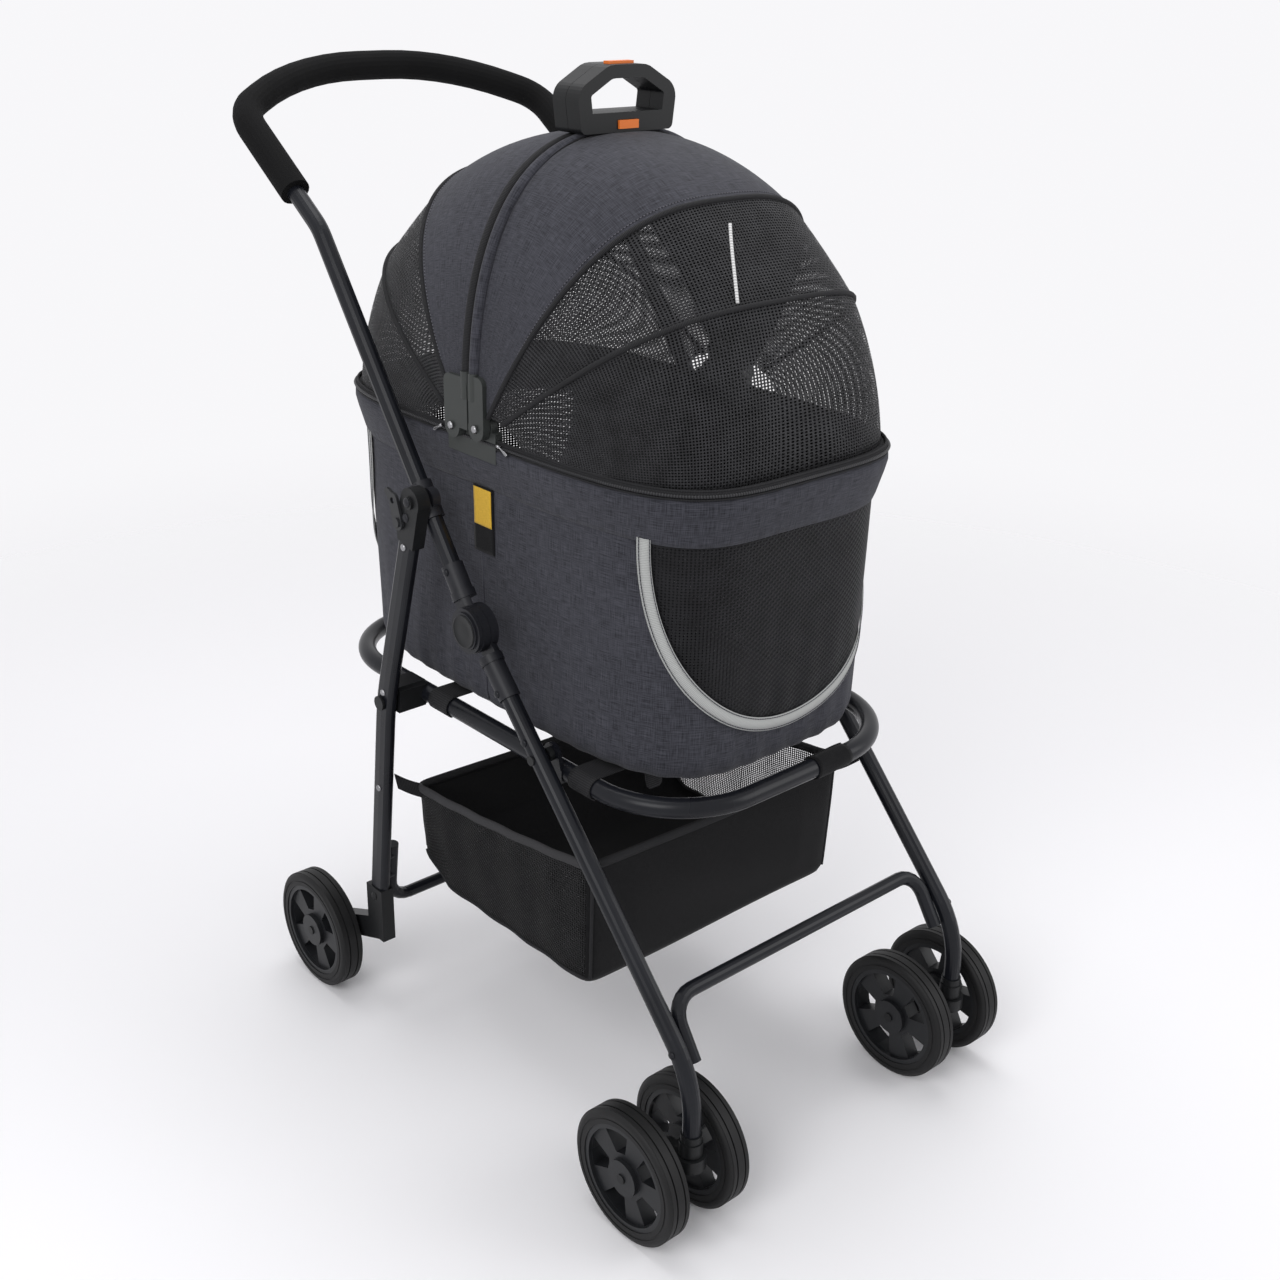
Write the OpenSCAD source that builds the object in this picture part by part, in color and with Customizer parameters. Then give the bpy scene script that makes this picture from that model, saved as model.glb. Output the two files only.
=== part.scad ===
// Pet stroller: a folding tube frame with six wheels, and a soft carrier that lifts off its seat hoop.
// Front is -Y, up is +Z, and the ground is z = 0. The left side is +X. All sizes are in millimetres.

/* [Carrier] */
// Width of the carrier over its walls
cabin_w = 320; // [250:1:384]
// Length of the carrier at its rim, front to back
cabin_l = 560; // [460:1:672]
// Height of the carrier's walls from base to rim
cabin_h = 281; // [225:1:340]
// Height of the canopy bows above their hinge pins
bow_h = 262; // [215:1:315]
// Height of the carry handle above the bows
carry_h = 62; // [50:1:76]

/* [Frame] */
// Outer diameter of the leg and handle tubes
tube_d = 18; // [14:0.5:22]
// Height of the seat hoop's middle line
hoop_z = 407; // [390:1:440]
// Diameter of the seat hoop's tube
hoop_d = 20; // [16:0.5:24]
// Height of the push grip's middle line
grip_z = 1015; // [900:1:1100]
// Diameter of the foam grip
grip_d = 31; // [26:0.5:37]

/* [Wheels] */
// Diameter of every wheel
wheel_d = 140; // [116:1:168]
// Width of a tyre
tyre_w = 26; // [21:1:31]
// Spacing between the two wheels of a caster, centre to centre
twin_gap = 78; // [72:1:90]

/* [Basket] */
// Height of the basket's floor
basket_z = 182; // [160:1:200]

/* [Hidden] */

$fn = 32;
run_gap = 0.05;      // radial clearance of every turning pin
body_gap = 0.8;      // side gap between bodies that pass each other
tube_r = tube_d / 2;
hoop_r = hoop_d / 2;
grip_r = grip_d / 2;
wheel_r = wheel_d / 2;
half_w = cabin_w / 2;
rim_out = 10;        // how far the rim band stands out from the wall
frame_x = half_w + rim_out + 15 + tube_r;

// Side view points, as [y, z], measured from the first layout of the frame
cabin_y = 54;                         // middle of the cabin
front_y = cabin_y - cabin_l / 2;
rear_y = cabin_y + cabin_l / 2;
base_z = hoop_z + hoop_r + 0.3;
rim_z = base_z + 7 + cabin_h;
hub = [20, 530];
leg_rise = 1.0846;                    // slope of the front leg
function leg_at(y) = [y, hub.y + leg_rise * (y - hub.x)];
knob = leg_at(-76);                   // pivot between front leg and seat hoop
pivot = [162, 404];                   // pivot between rear leg and seat hoop
shoulder = [92, 644];                 // pivot between rear leg and push handle
stem_y = -303;
stem_r = 6;
trail = 39;
caster_y = stem_y + trail;
leg_end = [stem_y, wheel_r + 42];
leg_bend = leg_at(stem_y);
foot_top = [195, 147];
rear_axle = [288, wheel_r];
handle_bend = [269, 880];
grip_corner = [409, grip_z - 37];
grip_bow = 54;                        // how far the grip's middle stands behind its corners
grip_rear = grip_corner.x + grip_bow + grip_r;
caster_front = caster_y - wheel_r;
mid_y = (grip_rear + caster_front) / 2;

leg_t = 13;                           // thickness of the rear leg, side to side
leg_deep = 26;                        // depth of the rear leg, front to back
leg_in = frame_x + tube_r + 1.8;
leg_x = leg_in + leg_t / 2;
rear_wheel_x = leg_in + leg_t + 4 + (tyre_w + 2) / 2;
hoop_x = half_w + 8;
hub_r = 25;
pin_r = 4;
plane_in = frame_x - tube_r;

// Carrier hinge pins and bows
front_pin = [cabin_y - 19, rim_z + 18];
rear_pin = [cabin_y + 19, rim_z + 14];
bow_y = [cabin_y - 13, cabin_y - 1];  // front and rear bow planes
bow_w = half_w + 20;
bow_r = 4.5;
bow_power = 2.55;
top_z = front_pin.y + bow_h;

// ---------- shared shapes ----------

module placed() translate([0, -mid_y, 0]) children();

module sided(s) mirror([s < 0 ? 1 : 0, 0, 0]) children();

module pair() for (s = [1, -1]) sided(s) children();

// A side view outline, given in [y, z], made t thick from x
module slab(x, t) translate([x, 0, 0]) rotate([90, 0, 90]) linear_extrude(t) children();

// A rod along X through side view point p
module rod(p, x0, x1, r) translate([x0, p.x, p.y]) rotate([0, 90, 0]) cylinder(r = r, h = x1 - x0);

function unit(v) = v / norm(v);
function bend_angle(a, b, c) = acos(max(-1, min(1, unit(b - a) * unit(c - b))));
function bend_cut(a, b, c, radius) = radius * tan(bend_angle(a, b, c) / 2);

module frame_at(p, x, y) {
    z = cross(x, y);
    multmatrix([[x.x, y.x, z.x, p.x], [x.y, y.y, z.y, p.y], [x.z, y.z, z.z, p.z], [0, 0, 0, 1]]) children();
}

// A straight round bar from a to b
module bar(a, b, r) {
    w = unit(b - a);
    side = abs(w.z) < 0.9 ? unit(cross([0, 0, 1], w)) : unit(cross([0, 1, 0], w));
    frame_at(a, side, cross(w, side)) cylinder(r = r, h = norm(b - a));
}

// The middle line of a bent tube: round arcs of the given radii replace the inner points
function rounded_path(points, bends, steps) = [for (i = [0:len(points) - 1])
    each (i == 0 || i == len(points) - 1 ? [points[i]] : let(
        a = points[i - 1],
        b = points[i],
        c = points[i + 1],
        angle = bend_angle(a, b, c),
        radius = bends[i - 1],
        u = unit(b - a),
        v = unit(c - b),
        n = unit(v - (v * u) * u),
        start = b - u * bend_cut(a, b, c, radius)
    ) [for (k = [0:steps]) let(t = angle * k / steps)
        start + u * radius * sin(t) + n * radius * (1 - cos(t))])];

// Side directions carried along a path without twist
function carried(path, k, n) = k >= len(path) ? [] : let(
    t = unit(path[min(k + 1, len(path) - 1)] - path[max(k - 1, 0)]),
    m = unit(n - (n * t) * t)
) concat([m], carried(path, k + 1, m));

// A tube swept along a path of points; stretch widens its section to a flat oval
module sweep(path, r, sides, first, stretch = 0) {
    last = len(path) - 1;
    normals = carried(path, 0, first);
    points = [for (k = [0:last]) let(
        t = unit(path[min(k + 1, last)] - path[max(k - 1, 0)]),
        w = cross(t, normals[k])
    ) each [for (j = [0:sides - 1]) let(a = j * 360 / sides)
        path[k] + normals[k] * r * cos(a) + w * (r * sin(a) + stretch * sign(round(100 * sin(a))))]];
    function at(k, j) = k * sides + j % sides;
    polyhedron(points, concat(
        [[for (j = [0:sides - 1]) j]],
        [for (k = [0:last - 1], j = [0:sides - 1]) each [
            [at(k, j), at(k + 1, j), at(k + 1, j + 1)], [at(k, j), at(k + 1, j + 1), at(k, j + 1)]]],
        [[for (j = [sides - 1:-1:0]) at(last, j)]]
    ));
}

function at_side(p, x) = [x, p.x, p.y];
function mirrored(points) = [for (i = [len(points) - 1:-1:0]) [-points[i].x, points[i].y, points[i].z]];

module block(x0, x1, y0, y1, z0, z1) translate([x0, y0, z0]) cube([x1 - x0, y1 - y0, z1 - z0]);

module rounded(w, l, r) {
    square([w, l - 2 * r], center = true);
    square([w - 2 * r, l], center = true);
    for (x = [-1, 1], y = [-1, 1]) translate([x * (w / 2 - r), y * (l / 2 - r)]) circle(r);
}

// The two triangles that close a shell's edge from point a to point b; the inner points come count later
function rim_pair(a, b, count) = [[a, b, count + a], [b, count + b, count + a]];

// A closed thin shell between two grids of points, both [rows][columns]
module shell(outer, inner) {
    rows = len(outer);
    cols = len(outer[0]);
    count = rows * cols;
    points = concat([for (row = outer) each row], [for (row = inner) each row]);
    function at(i, j) = i * cols + j;
    faces = concat(
        [for (i = [0:rows - 2], j = [0:cols - 2]) each [
            [at(i, j), at(i + 1, j), at(i + 1, j + 1)], [at(i, j), at(i + 1, j + 1), at(i, j + 1)]]],
        [for (i = [0:rows - 2], j = [0:cols - 2]) each [
            [count + at(i, j), count + at(i + 1, j + 1), count + at(i + 1, j)],
            [count + at(i, j), count + at(i, j + 1), count + at(i + 1, j + 1)]]],
        [for (i = [0:rows - 2]) each rim_pair(at(i + 1, 0), at(i, 0), count)],
        [for (i = [0:rows - 2]) each rim_pair(at(i, cols - 1), at(i + 1, cols - 1), count)],
        [for (j = [0:cols - 2]) each rim_pair(at(0, j), at(0, j + 1), count)],
        [for (j = [0:cols - 2]) each rim_pair(at(rows - 1, j + 1), at(rows - 1, j), count)]
    );
    polyhedron(points, faces);
}

// A point of a rounded rectangle of half sizes a and b, at an angle
function squircle(a, b, n, angle) = [
    a * sign(cos(angle)) * pow(abs(cos(angle)), 2 / n),
    b * sign(sin(angle)) * pow(abs(sin(angle)), 2 / n)
];

// A cup: rings of points lofted into walls and a floor, thick walls, open at the top
module cup(rings, thick, power, steps) {
    levels = len(rings);
    outer = [for (k = rings) [for (i = [0:steps - 1])
        let(p = squircle(k[0], k[1], power, i * 360 / steps)) [p.x, p.y + k[2], k[3]]]];
    inner = [for (k = [levels - 1:-1:0]) [for (i = [0:steps - 1])
        let(p = squircle(rings[k][0] - thick, rings[k][1] - thick, power, i * 360 / steps))
            [p.x, p.y + rings[k][2], rings[k][3] + (k == 0 ? thick : 0)]]];
    all = concat(outer, inner);
    points = [for (row = all) each row];
    function at(i, j) = i * steps + j % steps;
    polyhedron(points, concat(
        [[for (j = [0:steps - 1]) j]],
        [for (i = [0:2 * levels - 2], j = [0:steps - 1]) each [
            [at(i, j), at(i + 1, j), at(i + 1, j + 1)], [at(i, j), at(i + 1, j + 1), at(i, j + 1)]]],
        [[for (j = [steps - 1:-1:0]) at(2 * levels - 1, j)]]
    ));
}

// ---------- seat frame ----------

module seat_hoop() color("#20242a") {
    y0 = front_y - 9;
    y1 = rear_y + 2;
    r = 100;
    for (x = [-1, 1]) bar([x * hoop_x, y0 + r, hoop_z], [x * hoop_x, y1 - r, hoop_z], hoop_r);
    for (y = [y0, y1]) bar([-hoop_x + r, y, hoop_z], [hoop_x - r, y, hoop_z], hoop_r);
    for (x = [-1, 1], y = [0, 1])
        translate([x * (hoop_x - r), y == 0 ? y0 + r : y1 - r, hoop_z])
            rotate([0, 0, y == 0 ? (x > 0 ? 270 : 180) : (x > 0 ? 0 : 90)])
                rotate_extrude(angle = 90) translate([r, 0]) circle(hoop_r);
}

// Flat webbing straps under the carrier, wrapped over the hoop's sides: one in front of the hangers, one in
// front of the rear pivots
strap_w = 32;
hanger_half = 16;
rear_block_half = 17;
strap_gap = 10;
strap_y = [knob.x - hanger_half - strap_gap - strap_w / 2, pivot.x - rear_block_half - 15 - strap_w / 2];
module support_straps() color("#15161a") for (y = strap_y) difference() {
    translate([0, y, 0]) rotate([90, 0, 0]) translate([0, 0, -strap_w / 2]) linear_extrude(strap_w) {
        translate([-hoop_x, hoop_z + hoop_r - 2]) square([2 * hoop_x, 2]);
        for (x = [-1, 1]) translate([x * hoop_x, hoop_z]) circle(hoop_r + 2);
    }
    for (x = [-1, 1]) bar([x * hoop_x, y - 20, hoop_z], [x * hoop_x, y + 20, hoop_z], hoop_r);
}

// Steel plates that hang the hoop from the front legs
module hoop_hangers() color("#2a2d33") pair() difference() {
    union() {
        slab(hoop_x + hoop_r - 3.5, 4.5) difference() {
            union() {
                translate(knob) circle(11);
                translate([knob.x - hanger_half, hoop_z - 8]) square([2 * hanger_half, 14]);
                polygon([
                    knob + [-10.5, 3], knob + [10.5, 3],
                    [knob.x + hanger_half, hoop_z], [knob.x - hanger_half, hoop_z]
                ]);
            }
            translate(knob) circle(pin_r + run_gap);
        }
    }
    bar([hoop_x, knob.x - 40, hoop_z], [hoop_x, knob.x + 40, hoop_z], hoop_r);
}

// Plastic blocks on the hoop, each with the pin that the rear leg turns on
module rear_pivots() color("#131417") pair() {
    difference() {
        slab(hoop_x + 2, leg_in - body_gap - hoop_x - 2) difference() {
            translate([pivot.x - rear_block_half, hoop_z - 15]) square([2 * rear_block_half, 30]);
            for (y = [-1, 1], z = [-1, 1])
                translate([pivot.x + y * rear_block_half, hoop_z + z * 15]) circle(4);
        }
        bar([hoop_x, pivot.x - 40, hoop_z], [hoop_x, pivot.x + 40, hoop_z], hoop_r);
    }
    rod(pivot, leg_in - body_gap, leg_in + leg_t + 1, pin_r);
    rod(pivot, leg_in + leg_t + body_gap, leg_in + leg_t + 3.5, 8);
}

// Hook-and-loop wrap round the hoop's front rail
module hoop_wrap() color("#101114") translate([44, front_y - 9, hoop_z]) rotate([0, 90, 0])
    difference() {
        cylinder(r = hoop_r + 1.6, h = 46, center = true);
        cylinder(r = hoop_r, h = 50, center = true);
    }

// Soft basket hung between front and rear legs
basket_x = plane_in - 3;
basket_wall = 3;
module basket_form(inset) {
    lift = inset;
    rotate([90, 0, 90]) translate([0, 0, -basket_x + inset]) linear_extrude(2 * (basket_x - inset))
        polygon([
            [-150 + inset, hoop_z - 66 + 4 * inset], [-132 + inset, basket_z + lift],
            [105 - inset, basket_z + lift], [158 - inset, basket_z + 34 + lift],
            [160 - inset, hoop_z - 92 + 4 * inset]
        ]);
}
module basket() color("#17181b") {
    difference() {
        basket_form(0);
        basket_form(basket_wall);
    }
    pair() {
        slab(basket_x - 1, plane_in - basket_x + 0.7) translate(leg_at(-151) - [10, 14]) square([20, 16]);
        slab(basket_x - 1, leg_in - basket_x + 0.7) translate([156, hoop_z - 112]) square([22, 14]);
    }
}

// ---------- front frame ----------

module front_leg(s) color("#20242a") sided(s) {
    direction = unit(leg_bend - hub);
    top = hub + direction * (hub_r + 6);
    difference() {
        sweep(rounded_path([for (p = [top, leg_bend, leg_end]) at_side(p, frame_x)], [110], 8),
            tube_r, 20, [1, 0, 0]);
        translate([frame_x, stem_y, leg_end.y - 5]) cylinder(r = stem_r + run_gap, h = 24);
    }
}

crossbar_r = 7.5;
module front_crossbar() color("#20242a") {
    x_in = plane_in - crossbar_r - 0.2;
    left = [[x_in, -286, 184], [x_in, -252, 236]];
    sweep(rounded_path(concat(left, mirrored(left)), [26, 26], 6), crossbar_r, 16, [1, 0, 0]);
}

// Knuckle on top of the front leg: a sleeve round the tube and an ear with the hub's bore
sleeve_r = tube_r + 2;
ear_split = frame_x + 0.5;
module lower_sleeve(s) color("#24272c") sided(s) {
    direction = unit(leg_bend - hub);
    start = hub + direction * (hub_r + 6);
    stop = hub + direction * (hub_r + 52);
    ring = hub + direction * (hub_r + 14);
    difference() {
        union() {
            bar(at_side(start, frame_x), at_side(stop, frame_x), sleeve_r);
            bar(at_side(start, frame_x), at_side(ring, frame_x), sleeve_r + 1.2);
            rod(hub, frame_x - sleeve_r + 2, ear_split - 0.2, hub_r - 1);
            intersection() {
                bar(at_side(hub, frame_x), at_side(ring, frame_x), sleeve_r);
                block(frame_x - sleeve_r + 2, ear_split - 0.2, -300, 300, 0, 900);
            }
        }
        bar(at_side(start, frame_x), at_side(stop + direction, frame_x), tube_r);
        rod(hub, frame_x - 30, frame_x + 30, 6 + run_gap);
    }
}

// Collars that close the legs and carry the caster stems
module caster_sockets() color("#131417") pair() difference() {
    translate([frame_x, stem_y, leg_end.y - 14]) {
        cylinder(r = tube_r + 2.5, h = 15);
        translate([0, 0, 15]) cylinder(r = tube_r + 1.4, h = 8);
    }
    translate([frame_x, stem_y, leg_end.y - 20]) cylinder(r = stem_r + run_gap, h = 40);
    translate([frame_x, stem_y, leg_end.y]) cylinder(r = tube_r, h = 40);
}

// Pivot bolts with round plastic knobs, inside the front legs
module leg_knobs() color("#0f1012") pair() {
    rod(knob, hoop_x + hoop_r - 3.5, plane_in, pin_r);
    rod(knob, hoop_x + hoop_r + 1.2, plane_in, pin_r + 3);
    rod(knob, frame_x + tube_r, frame_x + tube_r + 1.6, 5);
}

// ---------- push handle ----------

handle_line = unit(handle_bend - hub);
module handle_tube() color("#20242a") {
    path = [
        at_side(hub + handle_line * (hub_r + 6), frame_x), at_side(handle_bend, frame_x),
        at_side(grip_corner, frame_x), [frame_x * 0.5, grip_corner.x + grip_bow, grip_z]
    ];
    sweep(rounded_path(concat(path, mirrored(path)), [60, 46, 260, 260, 46, 60], 5), tube_r, 16, [1, 0, 0]);
}

module foam_grip() color("#1b1b1d") {
    path = [
        at_side(handle_bend + unit(grip_corner - handle_bend) * 52, frame_x), at_side(grip_corner, frame_x),
        [frame_x * 0.5, grip_corner.x + grip_bow, grip_z]
    ];
    sweep(rounded_path(concat(path, mirrored(path)), [46, 260, 260, 46], 7), grip_r, 20, [1, 0, 0]);
}

module upper_sleeve(s) color("#24272c") sided(s) {
    direction = handle_line;
    start = hub + direction * (hub_r + 6);
    stop = hub + direction * (hub_r + 42);
    ring = hub + direction * (hub_r + 14);
    difference() {
        union() {
            bar(at_side(start, frame_x), at_side(stop, frame_x), sleeve_r);
            bar(at_side(start, frame_x), at_side(ring, frame_x), sleeve_r + 1.2);
            rod(hub, ear_split + 0.2, frame_x + sleeve_r - 2, hub_r - 1);
            intersection() {
                bar(at_side(hub, frame_x), at_side(ring, frame_x), sleeve_r);
                block(ear_split + 0.2, frame_x + sleeve_r - 2, -300, 300, 0, 900);
            }
        }
        bar(at_side(start, frame_x), at_side(stop + direction * 3, frame_x), tube_r);
    }
    rod(hub, frame_x - sleeve_r + 1, ear_split + 1, 6);
    rod(hub, frame_x - sleeve_r, frame_x - sleeve_r + 1.8, 9);
}

// Round caps over the fold knuckles
module hub_caps() color("#17191d") pair() {
    rod(hub, frame_x + sleeve_r - 2, frame_x + sleeve_r + 2.5, 23);
    rod(hub, frame_x + sleeve_r + 2.5, frame_x + sleeve_r + 4.5, 19);
}

// Clamp round the handle tube that meets the rear leg's cap
collar = hub + handle_line * ((shoulder - hub) * handle_line);
module latch_bracket(s) color("#1a1c20") sided(s) difference() {
    union() {
        reach = handle_line * 19;
        bar(at_side(collar - reach, frame_x), at_side(collar + reach, frame_x), tube_r + 2.6);
        slab(frame_x - 5, 9) hull() {
            translate(shoulder) circle(11);
            translate(shoulder + [26, -12]) circle(7);
        }
    }
    bar(at_side(hub, frame_x), at_side(handle_bend, frame_x), tube_r);
    block(frame_x + tube_r + 0.6, frame_x + 60, -300, 600, 0, 1100);
}

// ---------- rear legs ----------

// A flat oval tube in the side plane from a to b
module oval(a, b) {
    w = unit(at_side(b, 0) - at_side(a, 0));
    frame_at(at_side(a, leg_x), [1, 0, 0], cross(w, [1, 0, 0])) linear_extrude(norm(b - a)) {
        square([leg_t, leg_deep - leg_t], center = true);
        for (y = [-1, 1]) translate([0, y * (leg_deep - leg_t) / 2]) circle(leg_t / 2);
    }
}

leg_top = shoulder + unit(pivot - shoulder) * 20;
module rear_leg(s) color("#20242a") sided(s) difference() {
    sweep(rounded_path([at_side(leg_top, leg_x), at_side(pivot, leg_x), at_side(foot_top, leg_x)], [300], 3),
        leg_t / 2, 20, [1, 0, 0], (leg_deep - leg_t) / 2);
    rod(pivot, leg_in - 5, leg_in + leg_t + 5, pin_r + run_gap);
}

// Plastic cap on top of the rear leg, round the fold's shoulder point
module leg_cap(s) color("#131417") sided(s) difference() {
    union() {
        slab(leg_in - 0.4, leg_t + 1.2) {
            translate(shoulder) circle(15);
            translate(leg_top + [10, 6]) circle(10);
            polygon([shoulder + [-14, -4], shoulder + [12, 9], leg_top + [19, 0], leg_top + [18, -24],
                leg_top + [-7, -30]]);
        }
        rod(shoulder, leg_in + leg_t, leg_in + leg_t + 3.5, 6.5);
    }
    oval(leg_top, pivot);
}

// Plastic foot at the bottom of the rear leg, reaching back to the wheel's axle
module rear_foot(s) color("#131417") sided(s) difference() {
    union() {
        slab(leg_in - 1.5, leg_t + 3) {
            translate([foot_top.x - 15, foot_top.y - 52]) square([30, 66]);
            polygon([[foot_top.x - 6, foot_top.y - 22], [foot_top.x - 6, foot_top.y - 52],
                rear_axle + [-3, -11], rear_axle + [2, 12]]);
            translate(rear_axle) circle(13);
        }
        rod(rear_axle, leg_in - 6, leg_in + leg_t + 3.5, 11);
        rod(rear_axle, leg_in, rear_wheel_x + tyre_w / 2 + 3, 5);
    }
    oval(pivot, foot_top);
    rod(brake_pin, leg_in - 12, leg_in + 4, 3 + run_gap);
}

cross_r = 7;
module rear_crossbar() color("#20242a") {
    x_in = leg_in - cross_r - 2.2;
    left = [[x_in, 189, 212], [x_in, 200, 134]];
    sweep(rounded_path(concat(left, mirrored(left)), [26, 26], 6), cross_r, 14, [1, 0, 0]);
    pair() for (z = [173, 199]) rod([pivot.x + (pivot.y - z) * 33 / 257, z], x_in, leg_in, 4.5);
}

// Grey hook latch on the outside of the rear leg's cap
module fold_latch(s) color("#4a4d52") sided(s) {
    lever = shoulder + [18, -24];
    x0 = leg_in + leg_t + 1.2;
    slab(x0, 3) difference() {
        union() {
            hull() {
                translate(lever) circle(8);
                translate(shoulder + [24, -2]) circle(7);
            }
            hull() {
                translate(shoulder + [24, -2]) circle(6);
                translate(shoulder + [34, 4]) circle(4);
            }
        }
        translate(shoulder + [25, -3]) circle(3.2);
    }
    rod(lever, x0 + 3, x0 + 5, 5);
}

// Wire brake bar that swings down between the rear wheels
brake_pin = [206, 128];
module brake_bar() color("#26282c") {
    x_in = leg_in - 9;
    left = [[leg_in + 2, brake_pin.x, brake_pin.y], [x_in, brake_pin.x, brake_pin.y], [x_in, 236, 112]];
    sweep(rounded_path(concat(left, mirrored(left)), [3.5, 12, 12, 3.5], 4), 3, 10, [0, 1, 0]);
}

// ---------- wheels ----------

rim_r = wheel_r - 15;
bore_r = 5 + run_gap;

module tyre(w) color("#141414") rotate([0, 90, 0]) rotate_extrude($fn = 64) difference() {
    union() {
        translate([rim_r, -w / 2 + 3]) square([wheel_r - rim_r, w - 6]);
        translate([rim_r, -w / 2]) square([wheel_r - rim_r - 6, w]);
        for (z = [-1, 1]) translate([wheel_r - 6, z * (w / 2 - 6)]) circle(6);
    }
    for (z = [-1, 1]) translate([wheel_r - 1.5, z * 5 - 0.8]) square([2, 1.6]);
    for (z = [-1, 1]) translate([wheel_r - 10, z * w / 2 - 0.6]) square([2, 1.2]);
}

module rim(w) color("#1d1e21") rotate([0, 90, 0]) difference() {
    union() {
        rotate_extrude($fn = 64) {
            translate([rim_r - 5, -w / 2 + 1]) square([5, w - 2]);
            translate([0, -w / 2 + 5]) square([rim_r - 4, w - 10]);
            translate([0, -w / 2 - 0.5]) square([19, w + 1]);
        }
    }
    translate([0, 0, -w]) cylinder(r = bore_r, h = 2 * w);
    for (k = [0:4]) rotate([0, 0, k * 72 + 18]) translate([0, 0, -w]) linear_extrude(2 * w)
        polygon([[24, -6.5], [rim_r - 8, -17], [rim_r - 5.5, 0], [rim_r - 8, 17], [24, 6.5]]);
}

module front_wheel_at(i) {
    side = i < 2 ? 1 : -1;
    place = i % 2 == 0 ? 1 : -1;
    translate([side * (frame_x + place * twin_gap / 2), caster_y, wheel_r]) children();
}

module rear_wheel_at(s) translate([s * rear_wheel_x, rear_axle.x, rear_axle.y]) children();

// Caster: a stem that turns in the leg's collar, a crown, and an arm down to the twin axle
module caster_fork(s) color("#131417") sided(s) {
    top = leg_end.y - 14 - 0.6;
    translate([frame_x, stem_y, top - 2]) cylinder(r = stem_r, h = 30);
    translate([frame_x, stem_y, top - 14]) cylinder(r = 15, h = 14);
    slab(frame_x - 9, 18) polygon([
        [stem_y - 13, top - 13], [stem_y + 14, top - 13], [caster_y + 12, wheel_r + 4],
        [caster_y + 10, wheel_r - 8], [caster_y - 10, wheel_r - 8]
    ]);
    rod([caster_y, wheel_r], frame_x - 15, frame_x + 15, 12);
    axle_half = twin_gap / 2 + tyre_w / 2 + 2;
    rod([caster_y, wheel_r], frame_x - axle_half, frame_x + axle_half, 5);
}

// ---------- carrier ----------

module carrier_tub() color("#3a3c42") cup([
    [half_w - 10, cabin_l / 2 - 15, cabin_y, base_z],
    [half_w - 2, cabin_l / 2 - 6, cabin_y, base_z + 22],
    [half_w, cabin_l / 2 - 2, cabin_y, rim_z - 40],
    [half_w + 1, cabin_l / 2, cabin_y, rim_z]
], 5, plan_power, 48);

// Padded band with a stiff frame round the rim, outside the wall
rim_h = 34;
plan_power = 4.2;
function plan_ring(a, b) = [for (i = [0:47]) squircle(a, b, plan_power, i * 7.5)];
module rim_frame() color("#2e3036") translate([0, cabin_y, rim_z - rim_h]) linear_extrude(rim_h)
    difference() {
        polygon(plan_ring(half_w + rim_out, cabin_l / 2 + rim_out - 1));
        polygon(plan_ring(half_w + 1.6, cabin_l / 2 + 0.6));
    }

module base_board() color("#1a1b1e") translate([0, cabin_y, base_z + 5]) linear_extrude(6)
    polygon(plan_ring(half_w - 20, cabin_l / 2 - 26));

module floor_pad() color("#34363b") translate([0, cabin_y, base_z + 11]) linear_extrude(20)
    polygon(plan_ring(half_w - 21, cabin_l / 2 - 27));

// Plastic hinge bases on the rim's sides, each with two pins
plate_x = half_w + rim_out + 1;
bow_x = plate_x + 4;
module hinge_bases() color("#2b2e33") pair() {
    difference() {
        slab(half_w + 1.8, plate_x - half_w - 2.6) {
            translate([cabin_y - 38, rim_z - 14]) square([76, 30]);
            for (p = [front_pin, rear_pin]) translate(p) circle(13);
        }
        translate([0, cabin_y, rim_z - rim_h]) linear_extrude(rim_h + 0.3)
            rounded(2 * (half_w + rim_out), cabin_l, 60);
    }
    for (p = [front_pin, rear_pin]) rod(p, plate_x - 3, plate_x + 7, 4);
}

// A bare cloth tab that hangs on the right wall, below the rim band
module label_tab() color("#d9a520") sided(-1) slab(half_w + 0.3, 1.4)
    translate([cabin_y - 20, rim_z - 117]) square([30, 72]);

// A point on a canopy bow of half width a and height b, from side angle 0 to 180
function bow_point(a, b, angle) = squircle(a, b, bow_power, angle);

// A bow: a bent tube over the cabin, in an upright plane, straight at its ends
bow_lift = 40;
module bow(y) {
    steps = 24;
    start = asin(pow((bow_lift + 24) / bow_h, bow_power / 2));
    stride = (180 - 2 * start) / steps;
    path = [for (i = [0:steps]) let(p = bow_point(bow_x, bow_h - bow_r, start + i * stride))
        [p.x, y, front_pin.y + p.y]];
    foot = [bow_x, y, front_pin.y + bow_lift];
    sweep(concat([foot], path, [[-foot.x, foot.y, foot.z]]), bow_r, 12, [0, 1, 0]);
}

module front_bow() color("#101113") bow(bow_y[0]);
module rear_bow() color("#101113") bow(bow_y[1]);

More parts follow.
